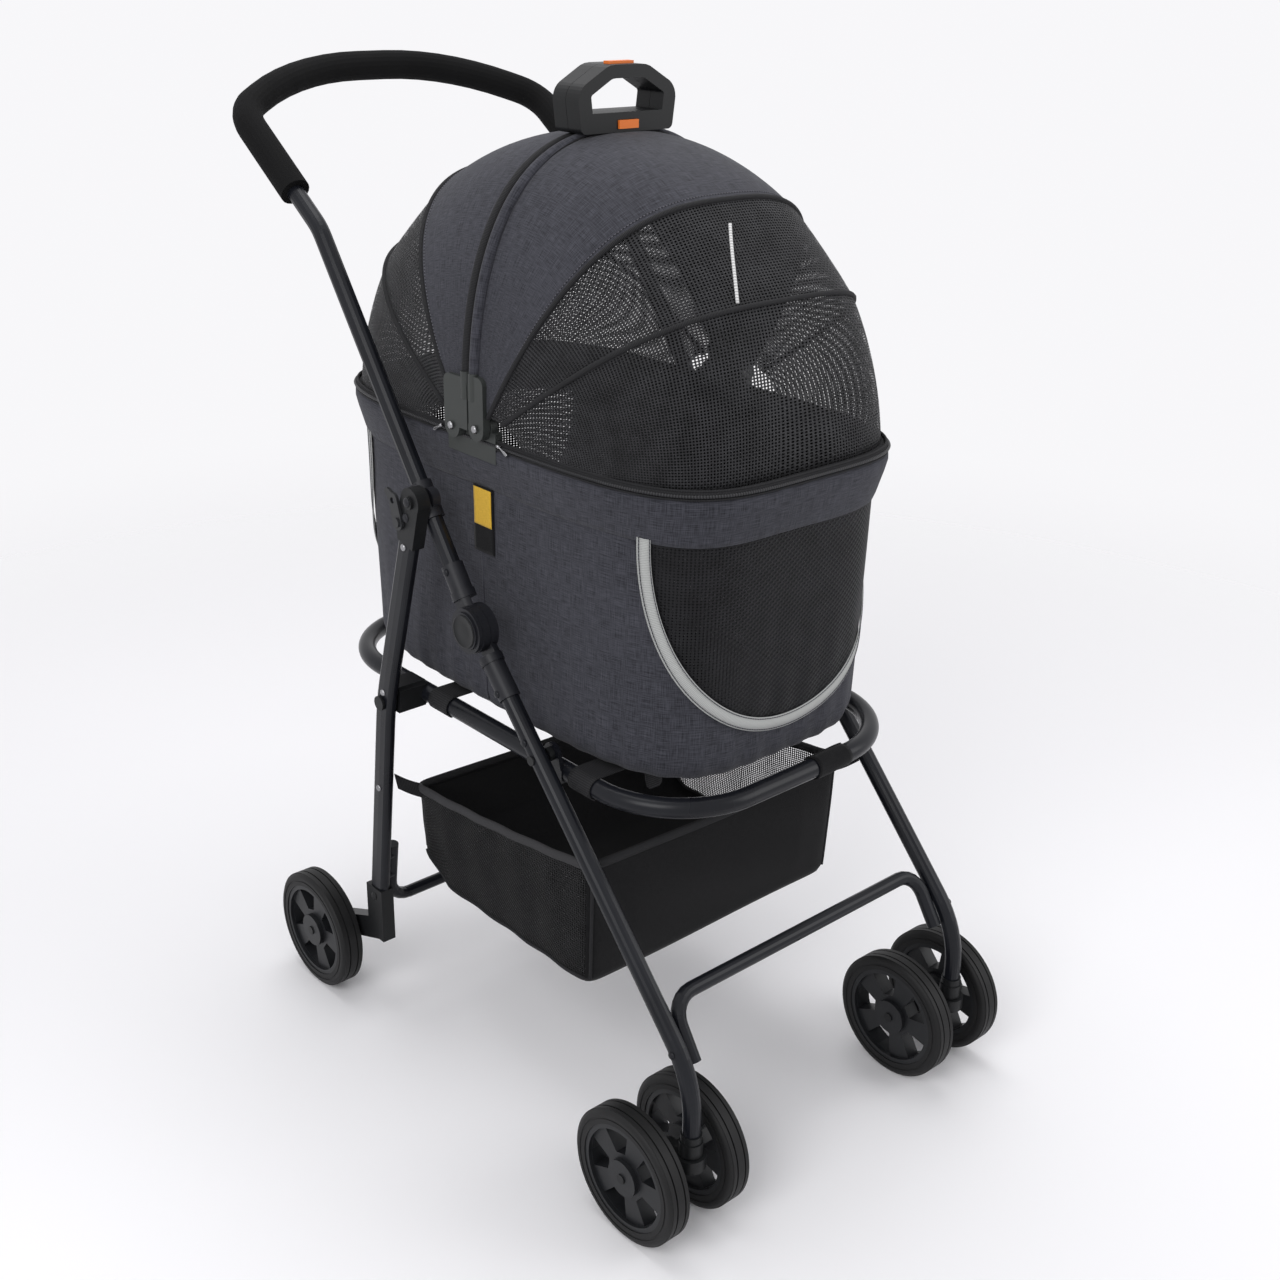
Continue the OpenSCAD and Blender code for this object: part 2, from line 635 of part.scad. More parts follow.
// Rounded grey plates that carry the bow's ends and turn on the hinge pins; the outline runs from y0 to y1
plate_t = 8;
module hinge_plates(pin, y, y0, y1) color("#33373c") pair() difference() {
    union() {
        slab(plate_x, plate_t) {
            translate(pin) circle(11.7);
            translate([y0, pin.y]) square([y1 - y0, 42]);
            translate([y0 + 8, pin.y + 42]) circle(8);
            translate([y1 - 8, pin.y + 42]) circle(8);
            translate([y0 + 8, pin.y + 40]) square([y1 - y0 - 16, 10]);
        }
        translate([bow_x, y, front_pin.y + bow_lift - 14]) cylinder(r = bow_r + 1.3, h = 26);
    }
    rod(pin, plate_x - 5, plate_x + 12, 4 + run_gap);
    translate([bow_x, y, front_pin.y + bow_lift]) cylinder(r = bow_r, h = 40);
}
seam_y = (bow_y[0] + bow_y[1]) / 2;
plate_gap = 1.2;
module front_hinge_plates() hinge_plates(front_pin, bow_y[0], front_pin.x - 12, seam_y - plate_gap);
module rear_hinge_plates() hinge_plates(rear_pin, bow_y[1], seam_y + plate_gap, rear_pin.x + 12);

// Fabric cover between the rim and a bow: its ribs turn from level to upright about a line above the rim
module cover(y, reach, dir) {
    across = 20;
    ribs = 8;
    z0 = rim_z + 3;
    function rib(k, inset) = [for (i = [0:across])
        let(
            angle = k * 90 / ribs,
            blend = sin(angle),
            wide = (half_w + 6) * (1 - blend) + (bow_x - bow_r - 1) * blend - inset,
            tall = reach * (1 - blend) + (top_z - 3 - z0) * blend - inset,
            p = squircle(wide, tall, plan_power * (1 - blend) + bow_power * blend, 5 + i * 170 / across)
        )
        [p.x, y + dir * p.y * cos(angle), z0 + p.y * sin(angle)]];
    outer = [for (k = [0:ribs]) rib(k, 0)];
    inner = [for (k = [0:ribs]) rib(k, 3)];
    if (dir < 0) shell(outer, inner);
    else mirror([0, 1, 0]) translate([0, -2 * y, 0]) cover(y, reach, -1);
}
module front_cover() color("#3a3c42") cover(bow_y[0] - bow_r - 0.8, bow_y[0] - front_y - 8, -1);
module rear_cover() color("#3a3c42") cover(bow_y[1] + bow_r + 0.8, rear_y - bow_y[1] - 8, 1);

// The carry handle: two halves that meet between the bows, with a finger gap
module carry_outline() {
    base = top_z - 5;
    hull() for (x = [-1, 1]) {
        translate([x * 16, base + carry_h - 28]) circle(28);
        translate([x * 42, base + carry_h - 31]) circle(18);
        translate([x * 51, base + 8]) circle(6);
    }
}
module carry_half(y0, y1) translate([0, y1, 0]) rotate([90, 0, 0]) linear_extrude(y1 - y0) difference() {
    carry_outline();
    offset(r = -15) translate([0, 3]) carry_outline();
}
module carry_handle_front() color("#131416") difference() {
    carry_half(seam_y - 19, seam_y - 0.2);
    block(-15.4, 15.4, seam_y - 9.4, seam_y + 10, top_z + carry_h - 9, top_z + carry_h + 9);
    block(-12.4, 12.4, seam_y - 30, seam_y - 9.6, top_z, top_z + 8.4);
}
module carry_handle_rear() color("#131416") carry_half(seam_y + 0.2, seam_y + 19);
module carry_button() color("#e06a1c")
    block(-15, 15, seam_y - 9, seam_y - 0.6, top_z + carry_h - 8.5, top_z + carry_h - 2.5);
module carry_catch() color("#e06a1c")
    block(-12, 12, seam_y - 21, seam_y - 10, top_z + 0.2, top_z + 8);

// ---------- nodes ----------

placed() seat_hoop();
placed() support_straps();
placed() hoop_hangers();
placed() rear_pivots();
placed() hoop_wrap();
placed() basket();
placed() front_leg(1);  // front_leg_left
placed() front_leg(-1);  // front_leg_right
placed() front_crossbar();
placed() lower_sleeve(1);  // lower_sleeve_left
placed() lower_sleeve(-1);  // lower_sleeve_right
placed() caster_sockets();
placed() leg_knobs();
placed() handle_tube();
placed() foam_grip();
placed() upper_sleeve(1);  // upper_sleeve_left
placed() upper_sleeve(-1);  // upper_sleeve_right
placed() hub_caps();
placed() latch_bracket(1);  // latch_bracket_left
placed() latch_bracket(-1);  // latch_bracket_right
placed() rear_leg(1);  // rear_leg_left
placed() rear_leg(-1);  // rear_leg_right
placed() leg_cap(1);  // leg_cap_left
placed() leg_cap(-1);  // leg_cap_right
placed() rear_foot(1);  // rear_foot_left
placed() rear_foot(-1);  // rear_foot_right
placed() rear_crossbar();
placed() fold_latch(1);  // fold_latch_left
placed() fold_latch(-1);  // fold_latch_right
placed() brake_bar();
placed() rear_wheel_at(1) tyre(tyre_w + 2);  // rear_tyre_left
placed() rear_wheel_at(-1) tyre(tyre_w + 2);  // rear_tyre_right
placed() rear_wheel_at(1) rim(tyre_w + 2);  // rear_rim_left
placed() rear_wheel_at(-1) rim(tyre_w + 2);  // rear_rim_right
placed() caster_fork(1);  // caster_fork_left
placed() caster_fork(-1);  // caster_fork_right
placed() front_wheel_at(0) tyre(tyre_w);  // front_tyre_1
placed() front_wheel_at(1) tyre(tyre_w);  // front_tyre_2
placed() front_wheel_at(2) tyre(tyre_w);  // front_tyre_3
placed() front_wheel_at(3) tyre(tyre_w);  // front_tyre_4
placed() front_wheel_at(0) rim(tyre_w);  // front_rim_1
placed() front_wheel_at(1) rim(tyre_w);  // front_rim_2
placed() front_wheel_at(2) rim(tyre_w);  // front_rim_3
placed() front_wheel_at(3) rim(tyre_w);  // front_rim_4
placed() carrier_tub();
placed() rim_frame();
placed() base_board();
placed() floor_pad();
placed() hinge_bases();
placed() label_tab();
placed() front_bow();
placed() rear_bow();
placed() front_hinge_plates();
placed() rear_hinge_plates();
placed() front_cover();
placed() rear_cover();
placed() carry_handle_front();
placed() carry_handle_rear();
placed() carry_button();
placed() carry_catch();
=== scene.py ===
import math

import bmesh
import bpy
import numpy as np
from mathutils import Matrix, Vector
from mathutils.bvhtree import BVHTree


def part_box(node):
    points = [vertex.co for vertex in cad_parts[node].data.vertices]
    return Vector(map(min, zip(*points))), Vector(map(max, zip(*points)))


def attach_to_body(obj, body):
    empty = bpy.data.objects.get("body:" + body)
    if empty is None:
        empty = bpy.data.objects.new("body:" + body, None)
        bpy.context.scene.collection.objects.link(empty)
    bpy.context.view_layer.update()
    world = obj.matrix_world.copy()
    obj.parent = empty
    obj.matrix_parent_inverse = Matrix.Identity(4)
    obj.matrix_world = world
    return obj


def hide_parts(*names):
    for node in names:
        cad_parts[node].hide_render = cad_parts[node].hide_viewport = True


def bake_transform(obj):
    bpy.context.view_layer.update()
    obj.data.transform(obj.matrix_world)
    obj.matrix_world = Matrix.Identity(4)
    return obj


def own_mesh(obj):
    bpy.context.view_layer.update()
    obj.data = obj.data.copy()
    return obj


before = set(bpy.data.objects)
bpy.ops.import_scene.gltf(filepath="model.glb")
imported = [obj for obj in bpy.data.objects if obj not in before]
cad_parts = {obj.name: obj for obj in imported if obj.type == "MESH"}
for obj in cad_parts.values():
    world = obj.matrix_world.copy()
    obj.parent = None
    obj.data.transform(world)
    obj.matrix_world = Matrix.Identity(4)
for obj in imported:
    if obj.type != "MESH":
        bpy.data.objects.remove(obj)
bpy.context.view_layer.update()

# ---------- measures, in metres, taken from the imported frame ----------

tub_lo, tub_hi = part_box("carrier_tub")
rim_lo, rim_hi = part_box("rim_frame")
hoop_lo, hoop_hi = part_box("seat_hoop")
front_bow_lo, front_bow_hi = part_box("front_bow")
rear_bow_lo, rear_bow_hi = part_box("rear_bow")
COVER_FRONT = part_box("front_cover")[0][1]
COVER_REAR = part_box("rear_cover")[1][1]
basket_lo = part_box("basket")[0]
pad_lo, pad_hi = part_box("floor_pad")
tab_lo, tab_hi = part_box("label_tab")

CABIN_Y = (tub_lo[1] + tub_hi[1]) / 2
HALF_W = tub_hi[0]
HALF_L = (tub_hi[1] - tub_lo[1]) / 2
BASE_Z = tub_lo[2]
RIM_Z = tub_hi[2]
FRONT_BOW_Y = (front_bow_lo[1] + front_bow_hi[1]) / 2
REAR_BOW_Y = (rear_bow_lo[1] + rear_bow_hi[1]) / 2
BOW_R = (front_bow_hi[1] - front_bow_lo[1]) / 2
BOW_TOP = front_bow_hi[2]
BOW_X = front_bow_hi[0] - BOW_R
PLAN_POWER = 4.2            # how square the carrier is in plan
BOW_POWER = 2.55            # how square the bows are
SIDES = ((1, "left"), (-1, "right"))

# ---------- materials ----------


def new_material(name):
    material = bpy.data.materials.new(name)
    material.use_nodes = True
    tree = material.node_tree
    shader = tree.nodes["Principled BSDF"]
    return material, tree, shader


def node(tree, kind, **settings):
    made = tree.nodes.new(kind)
    for key, value in settings.items():
        if key in made.inputs:
            made.inputs[key].default_value = value
        else:
            setattr(made, key, value)
    return made


def math_node(tree, operation, a, b=None):
    made = tree.nodes.new("ShaderNodeMath")
    made.operation = operation
    for socket, value in zip(made.inputs, (a, b)):
        if value is None:
            continue
        if hasattr(value, "is_output"):
            tree.links.new(value, socket)
        else:
            socket.default_value = value
    return made.outputs[0]


def weighted(tree, first, second, share):
    """The sum of two values, the first with this share."""
    parts = [math_node(tree, "MULTIPLY", *pair) for pair in ((first, share), (second, 1 - share))]
    return math_node(tree, "ADD", *parts)


def sine_product(tree, vector):
    """sin(x) sin(y): a plain weave or offset rows of holes."""
    split = node(tree, "ShaderNodeSeparateXYZ")
    tree.links.new(vector, split.inputs["Vector"])
    return math_node(tree, "MULTIPLY", *(math_node(tree, "SINE", split.outputs[axis]) for axis in "XY"))


def place(tree, scale, source="Object"):
    """Texture coordinates in metres, scaled along each axis."""
    coordinates = node(tree, "ShaderNodeTexCoord")
    mapping = node(tree, "ShaderNodeMapping")
    mapping.inputs["Scale"].default_value = scale
    tree.links.new(coordinates.outputs[source], mapping.inputs["Vector"])
    return mapping.outputs["Vector"]


def noise_value(tree, vector, scale=1.0, detail=2.0):
    made = node(tree, "ShaderNodeTexNoise", Scale=scale, Detail=detail)
    tree.links.new(vector, made.inputs["Vector"])
    return made.outputs["Fac"]


def ramp(tree, value, low, high, start=0.3, end=0.7):
    made = node(tree, "ShaderNodeValToRGB")
    made.color_ramp.elements[0].position = start
    made.color_ramp.elements[0].color = (*low, 1)
    made.color_ramp.elements[1].position = end
    made.color_ramp.elements[1].color = (*high, 1)
    tree.links.new(value, made.inputs["Fac"])
    return made.outputs["Color"]


def bump(tree, shader, height, strength, distance):
    made = node(tree, "ShaderNodeBump", Strength=strength, Distance=distance)
    tree.links.new(height, made.inputs["Height"])
    tree.links.new(made.outputs["Normal"], shader.inputs["Normal"])


def roughness_from(tree, shader, value, low, high):
    made = node(tree, "ShaderNodeMapRange")
    made.inputs["To Min"].default_value = low
    made.inputs["To Max"].default_value = high
    tree.links.new(value, made.inputs["Value"])
    tree.links.new(made.outputs["Result"], shader.inputs["Roughness"])


def solid_material(name, low, high, rough, grain=900, depth=0.00008, strength=0.25, coat=0.0, gloss=0.3):
    """Painted metal or moulded plastic: a slight cloudy tone and a fine skin grain."""
    material, tree, shader = new_material(name)
    cloud = noise_value(tree, place(tree, (14, 14, 14)), 1.0, 3.0)
    fine = noise_value(tree, place(tree, (grain, grain, grain)), 1.0, 2.0)
    tree.links.new(ramp(tree, cloud, low, high), shader.inputs["Base Color"])
    roughness_from(tree, shader, cloud, rough[0], rough[1])
    bump(tree, shader, fine, strength, depth)
    shader.inputs["Specular IOR Level"].default_value = gloss
    shader.inputs["Coat Weight"].default_value = coat
    shader.inputs["Coat Roughness"].default_value = 0.2
    return material


def woven_material(name, dark, light, slub=0.5, across=55, along=1100, pitch=0.0011, gloss=0.2):
    """Two-tone woven cloth, from UVs in metres: long threads both ways over a fine plain weave."""
    material, tree, shader = new_material(name)
    level = noise_value(tree, place(tree, (across, along, 1), "UV"), 1.0, 3.0)
    upright = noise_value(tree, place(tree, (along, across, 1), "UV"), 1.0, 3.0)
    broad = noise_value(tree, place(tree, (9, 9, 1), "UV"), 1.0, 2.0)
    threads = weighted(tree, level, upright, slub)
    tone = weighted(tree, threads, broad, 0.9)
    tree.links.new(ramp(tree, tone, dark, light, 0.37, 0.63), shader.inputs["Base Color"])
    weave = sine_product(tree, place(tree, (math.tau / pitch,) * 3, "UV"))
    height = math_node(tree, "ADD", math_node(tree, "MULTIPLY", weave, 0.4), threads)
    bump(tree, shader, height, 0.35, 0.0004)
    shader.inputs["Roughness"].default_value = 0.88
    shader.inputs["Specular IOR Level"].default_value = gloss
    shader.inputs["Sheen Weight"].default_value = gloss * 0.4
    shader.inputs["Sheen Roughness"].default_value = 0.5
    return material


def mesh_material(name, colour, pitch=0.0028, openness=0.46, sheen=0.2):
    """Knitted mesh: black yarn with real see-through holes in offset rows, from UVs in metres."""
    material, tree, shader = new_material(name)
    wave = sine_product(tree, place(tree, (math.pi / pitch, math.pi / (pitch * 0.8), 1), "UV"))
    hole = node(tree, "ShaderNodeMapRange")
    hole.inputs["From Min"].default_value = openness
    hole.inputs["From Max"].default_value = openness + 0.12
    hole.inputs["To Min"].default_value = 1.0
    hole.inputs["To Max"].default_value = 0.0
    tree.links.new(math_node(tree, "ABSOLUTE", wave), hole.inputs["Value"])
    tree.links.new(hole.outputs["Result"], shader.inputs["Alpha"])
    tone = noise_value(tree, place(tree, (40, 40, 1), "UV"), 1.0, 2.0)
    tree.links.new(ramp(tree, tone, colour, tuple(c * 1.9 for c in colour)), shader.inputs["Base Color"])
    bump(tree, shader, wave, 0.5, 0.0006)
    shader.inputs["Roughness"].default_value = 0.62
    shader.inputs["Specular IOR Level"].default_value = 0.16
    shader.inputs["Sheen Weight"].default_value = sheen * 0.3
    return material


def striped_material(name, dark, light, pitch, rough, axis="X"):
    """A tape or zip: fine ribs across its length, from UVs in metres."""
    material, tree, shader = new_material(name)
    split = node(tree, "ShaderNodeSeparateXYZ")
    tree.links.new(place(tree, (math.tau / pitch,) * 3, "UV"), split.inputs["Vector"])
    wave = math_node(tree, "SINE", split.outputs[axis])
    half = math_node(tree, "ADD", math_node(tree, "MULTIPLY", wave, 0.5), 0.5)
    tree.links.new(ramp(tree, half, dark, light, 0.2, 0.8), shader.inputs["Base Color"])
    bump(tree, shader, half, 0.6, 0.0005)
    shader.inputs["Specular IOR Level"].default_value = 0.25
    shader.inputs["Roughness"].default_value = rough
    return material


PAINT = solid_material(
    "frame_black", (0.0055, 0.006, 0.0085), (0.010, 0.011, 0.0145), (0.24, 0.33), 600, 0.00004, 0.12, 0.0, 0.22)
KNUCKLE = solid_material(
    "knuckle", (0.011, 0.0115, 0.0145), (0.018, 0.0185, 0.0225), (0.36, 0.48), 1300, 0.0001, 0.3, 0.0, 0.24)
PLASTIC = solid_material(
    "plastic_black", (0.006, 0.0065, 0.007), (0.011, 0.0115, 0.0125), (0.38, 0.52), 1400, 0.0001, 0.3, 0.0, 0.24)
FOAM = solid_material(
    "foam", (0.005, 0.005, 0.0053), (0.009, 0.009, 0.0094), (0.85, 0.95), 1600, 0.0006, 0.6, 0.0, 0.12)
TYRE = solid_material(
    "tyre", (0.006, 0.006, 0.0063), (0.011, 0.011, 0.0115), (0.5, 0.65), 1000, 0.0002, 0.35, 0.0, 0.25)
RIM = solid_material(
    "rim_plastic", (0.008, 0.0085, 0.010), (0.014, 0.015, 0.017), (0.38, 0.5), 1300, 0.0001, 0.25)
GREY = solid_material(
    "plate_grey", (0.027, 0.030, 0.029), (0.040, 0.044, 0.042), (0.36, 0.46), 1400, 0.0001, 0.3)
LATCH = solid_material(
    "latch_grey", (0.014, 0.0145, 0.016), (0.026, 0.027, 0.029), (0.34, 0.44), 1300, 0.0001, 0.25)
ORANGE = solid_material(
    "button_orange", (0.75, 0.16, 0.02), (0.86, 0.22, 0.035), (0.35, 0.45), 1200, 0.0001, 0.2)
STEEL = solid_material("zip_steel", (0.24, 0.24, 0.25), (0.36, 0.36, 0.37), (0.22, 0.34), 900, 0.0001, 0.2)
STEEL.node_tree.nodes["Principled BSDF"].inputs["Metallic"].default_value = 1.0
CHARCOAL = woven_material("fabric_charcoal", (0.015, 0.0155, 0.020), (0.070, 0.071, 0.087), 0.55, 62, 1250)
BLACK_CLOTH = woven_material(
    "fabric_black", (0.003, 0.003, 0.0035), (0.009, 0.009, 0.010), 0.5, 160, 1400, gloss=0.15)
PAD_CLOTH = woven_material("pad", (0.008, 0.008, 0.009), (0.026, 0.026, 0.029), 0.5, 120, 1200, gloss=0.15)
TAB_CLOTH = woven_material("tab_yellow", (0.60, 0.36, 0.035), (0.76, 0.48, 0.06), 0.5, 200, 1500)
MESH = mesh_material("mesh_black", (0.017, 0.017, 0.0185), 0.0036, 0.5)
WINDOW_MESH = mesh_material("mesh_window", (0.007, 0.007, 0.008), 0.0036, 0.7)
BASKET_MESH = mesh_material("mesh_basket", (0.007, 0.007, 0.0075), 0.0030, 0.34, 0.1)
TAPE = striped_material("tape_reflective", (0.40, 0.41, 0.40), (0.52, 0.53, 0.52), 0.0016, 0.5)
BINDING = striped_material("tape_binding", (0.010, 0.010, 0.011), (0.022, 0.022, 0.024), 0.0014, 0.8)
GREY_BINDING = striped_material("tape_grey", (0.028, 0.028, 0.030), (0.052, 0.052, 0.055), 0.0015, 0.8)
ZIP = striped_material("zip_teeth", (0.006, 0.006, 0.007), (0.035, 0.035, 0.038), 0.0026, 0.45)
THREAD = striped_material("thread", (0.02, 0.02, 0.024), (0.13, 0.13, 0.15), 0.0034, 0.8)
WEBBING = striped_material("webbing", (0.008, 0.008, 0.009), (0.02, 0.02, 0.022), 0.0022, 0.75, "Y")
WHITE_ZIP = striped_material("zip_white", (0.45, 0.45, 0.45), (0.75, 0.75, 0.75), 0.003, 0.6)

# ---------- mesh helpers ----------


def mesh_object(name, points, faces, uvs=None, materials=(), indices=None, smooth=True):
    """uvs holds one list of corner UVs for each face."""
    mesh = bpy.data.meshes.new(name)
    mesh.from_pydata([tuple(p) for p in points], [], faces)
    if uvs is not None:
        layer = mesh.uv_layers.new(name="UVMap")
        layer.data.foreach_set("uv", np.array([c for face in uvs for c in face], np.float32).ravel())
    for material in materials:
        mesh.materials.append(material)
    if indices is not None:
        mesh.polygons.foreach_set("material_index", indices)
    mesh.polygons.foreach_set("use_smooth", [smooth] * len(mesh.polygons))
    mesh.update()
    made = bpy.data.objects.new(name, mesh)
    bpy.context.scene.collection.objects.link(made)
    return made


def drop_loose(mesh):
    """Removes the points that no face uses."""
    work = bmesh.new()
    work.from_mesh(mesh)
    bmesh.ops.delete(work, geom=[v for v in work.verts if not v.link_faces], context="VERTS")
    work.to_mesh(mesh)
    work.free()


def lengths(points):
    """Distance walked along a line of points."""
    steps = np.linalg.norm(np.diff(points, axis=0), axis=1)
    return np.concatenate([[0.0], np.cumsum(steps)])


def grid_object(name, grid, materials, index_of=None, closed=False, flip=False, keep=None):
    """A sheet through a grid of points [rows][columns]; closed joins the last column to the first.
    UVs are arc lengths in metres, and keep(i, j) leaves faces out."""
    rows, cols = grid.shape[:2]
    middle = grid[rows // 2]
    ring = np.vstack([middle, middle[:1]]) if closed else middle
    u = lengths(ring)
    v = lengths(grid[:, cols // 2])
    faces, uvs, indices = [], [], []
    for i in range(rows - 1):
        for j in range(cols if closed else cols - 1):
            if keep and not keep(i, j):
                continue
            k = (j + 1) % cols
            face = [i * cols + j, i * cols + k, (i + 1) * cols + k, (i + 1) * cols + j]
            corner = [(u[j], v[i]), (u[j + 1], v[i]), (u[j + 1], v[i + 1]), (u[j], v[i + 1])]
            if flip:
                face.reverse()
                corner.reverse()
            faces.append(face)
            uvs.append(corner)
            indices.append(index_of(i, j) if index_of else 0)
    made = mesh_object(name, grid.reshape(-1, 3), faces, uvs, materials, indices)
    if keep:
        drop_loose(made.data)
    return made


def tube(name, path, radius, material, sides=12, closed=False, flat=1.0, normal=(0, 0, 1), caps=True):
    """A round or flattened tube along a path. flat scales its thickness along the carried normal."""
    path = np.asarray(path, float)
    count = len(path)
    if closed:
        tangents = np.roll(path, -1, 0) - np.roll(path, 1, 0)
    else:
        tangents = np.gradient(path, axis=0)
    tangents /= np.linalg.norm(tangents, axis=1)[:, None]
    side = np.asarray(normal, float)
    rows = []
    for p, t in zip(path, tangents):
        side = side - t * (side @ t)
        side /= np.linalg.norm(side)
        other = np.cross(t, side)
        rows.append([p + radius * (flat * side * math.cos(a) + other * math.sin(a))
                     for a in turns(sides)])
    rows = np.array(rows)
    along = lengths(np.vstack([path, path[:1]]) if closed else path)
    faces, uvs = [], []
    for i in range(count if closed else count - 1):
        n = (i + 1) % count
        for j in range(sides):
            k = (j + 1) % sides
            faces.append([i * sides + j, i * sides + k, n * sides + k, n * sides + j])
            a, b = (math.tau * radius * q / sides for q in (j, j + 1))
            uvs.append([(along[i], a), (along[i], b), (along[i + 1], b), (along[i + 1], a)])
    if not closed and caps:
        faces += [list(range(sides))[::-1], [(count - 1) * sides + j for j in range(sides)]]
        uvs += [[(0, 0)] * sides, [(0, 0)] * sides]
    return mesh_object(name, rows.reshape(-1, 3), faces, uvs, [material])


def thicken(made, thickness, offset=-1.0, lining=0):
    """Gives a sheet its thickness. lining is how many material slots further the inner side's material is."""
    modifier = made.modifiers.new("thickness", "SOLIDIFY")
    modifier.material_offset = lining
    modifier.thickness = thickness
    modifier.offset = offset
    return made


def bevel(made, width, segments=2, angle=35):
    modifier = made.modifiers.new("edges", "BEVEL")
    modifier.width = width
    modifier.segments = segments
    modifier.limit_method = "ANGLE"
    modifier.angle_limit = math.radians(angle)
    modifier.harden_normals = False
    return made


def squircle(a, b, power, angle):
    """Points of a rounded rectangle of half sizes a and b."""
    c, s = np.cos(angle), np.sin(angle)
    parts = [size * np.sign(v) * np.abs(v) ** (2 / power) for size, v in ((a, c), (b, s))]
    return np.stack(parts, -1)


def even_ring(a, b, power, count):
    """Points of a rounded rectangle, spaced evenly along it, from +X towards +Y."""
    fine = squircle(a, b, power, np.linspace(0, math.tau, 4001))
    walked = lengths(fine)
    places = np.linspace(0, walked[-1], count, endpoint=False)
    return np.stack([np.interp(places, walked, fine[:, k]) for k in range(2)], -1)


def turns(count):
    """Angles evenly round a circle."""
    return np.linspace(0, math.tau, count, endpoint=False)


def level_ring(a, b, count, z):
    """A level ring of points round the carrier's middle, in its plan shape."""
    ring = even_ring(a, b, PLAN_POWER, count)
    return np.column_stack([ring[:, 0], ring[:, 1] + CABIN_Y, np.full(count, z)])


def face_tree(mesh):
    return BVHTree.FromPolygons([v.co for v in mesh.vertices], [list(f.vertices) for f in mesh.polygons])


def attach(made, body):
    """Every rigid piece: the body it rides on."""
    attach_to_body(made, body)
    return made


def finish_with(made, material):
    made.data.materials.clear()
    made.data.materials.append(material)


# ---------- frame pieces kept from the CAD ----------

CAD_LOOKS = {
    "seat_hoop": PAINT, "hoop_hangers": PAINT, "front_leg_left": PAINT, "front_leg_right": PAINT,
    "front_crossbar": PAINT, "handle_tube": PAINT, "rear_leg_left": PAINT, "rear_leg_right": PAINT,
    "rear_crossbar": PAINT, "brake_bar": PAINT,
    "lower_sleeve_left": KNUCKLE, "lower_sleeve_right": KNUCKLE, "upper_sleeve_left": KNUCKLE,
    "upper_sleeve_right": KNUCKLE, "hub_caps": KNUCKLE,
    "latch_bracket_left": KNUCKLE, "latch_bracket_right": KNUCKLE,
    "rear_pivots": PLASTIC, "caster_sockets": PLASTIC, "leg_knobs": PLASTIC, "leg_cap_left": PLASTIC,
    "leg_cap_right": PLASTIC, "rear_foot_left": PLASTIC, "rear_foot_right": PLASTIC,
    "caster_fork_left": PLASTIC, "caster_fork_right": PLASTIC,
    "fold_latch_left": LATCH, "fold_latch_right": LATCH,
    "foam_grip": FOAM, "hinge_bases": GREY, "front_hinge_plates": GREY, "rear_hinge_plates": GREY,
    "carry_handle_front": PLASTIC, "carry_handle_rear": PLASTIC, "carry_button": ORANGE, "carry_catch": ORANGE,
    "base_board": PLASTIC, "front_bow": PLASTIC, "rear_bow": PLASTIC,
    "support_straps": BLACK_CLOTH, "hoop_wrap": BLACK_CLOTH,
}
for name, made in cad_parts.items():
    if "tyre" in name:
        finish_with(made, TYRE)
    elif "rim" in name and name != "rim_frame":
        finish_with(made, RIM)
    elif name in CAD_LOOKS:
        finish_with(made, CAD_LOOKS[name])

SMALL_EDGES = {
    "carry_handle_front": 0.004, "carry_handle_rear": 0.004, "hub_caps": 0.0012, "front_hinge_plates": 0.0015,
    "rear_hinge_plates": 0.0015, "hinge_bases": 0.001, "fold_latch_left": 0.0008, "fold_latch_right": 0.0008,
    "leg_cap_left": 0.0015, "leg_cap_right": 0.0015, "rear_foot_left": 0.002, "rear_foot_right": 0.002,
    "rear_pivots": 0.0015, "caster_fork_left": 0.0025, "caster_fork_right": 0.0025, "caster_sockets": 0.001,
    "carry_button": 0.0012, "carry_catch": 0.0012, "hoop_hangers": 0.0006,
}
for name, width in SMALL_EDGES.items():
    bevel(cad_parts[name], width)

# ---------- carrier shell ----------

AROUND = 336
LEVELS = 60
SHELL_T = 0.004
WINDOW_TOP = RIM_Z - 0.040
WINDOW_LOW = BASE_Z + 0.044
WINDOW_HALF = 0.172
TAPE_LIFT = 0.0022
TAPE_EDGES = (-0.006, 0.008)
TAPE_STITCHES = (-0.0045, 0.0065)


def shell_ring(level):
    """Half sizes of the carrier wall at a share of its height, rounded at the base."""
    rise = min(level / 0.09, 1.0)
    inset = 0.014 * (1 - math.sqrt(max(0.0, 1 - (1 - rise) ** 2)))
    taper = 0.003 * (1 - level)
    return HALF_W - 0.001 - inset - taper, HALF_L - 0.0015 - inset - taper - 0.006 * (1 - level)


def shell_grid(count, levels, grow=0.0):
    rows = []
    for level in levels:
        a, b = shell_ring(level)
        ring = even_ring(a + grow, b + grow, PLAN_POWER, count)
        z = BASE_Z + 0.001 + level * (RIM_Z - BASE_Z - 0.012)
        angle = np.linspace(0, math.tau, count, endpoint=False)
        pull = 0.0016 * math.sin(math.pi * level) * np.sin(angle * 4 + 0.6)
        pucker = 0.0009 * (1 - level) ** 3 * np.sin(angle * 46)
        scale = 1 + (pull + pucker) / 0.2
        rows.append(np.column_stack([ring[:, 0] * scale, ring[:, 1] * scale + CABIN_Y, np.full(count, z)]))
    return np.array(rows)


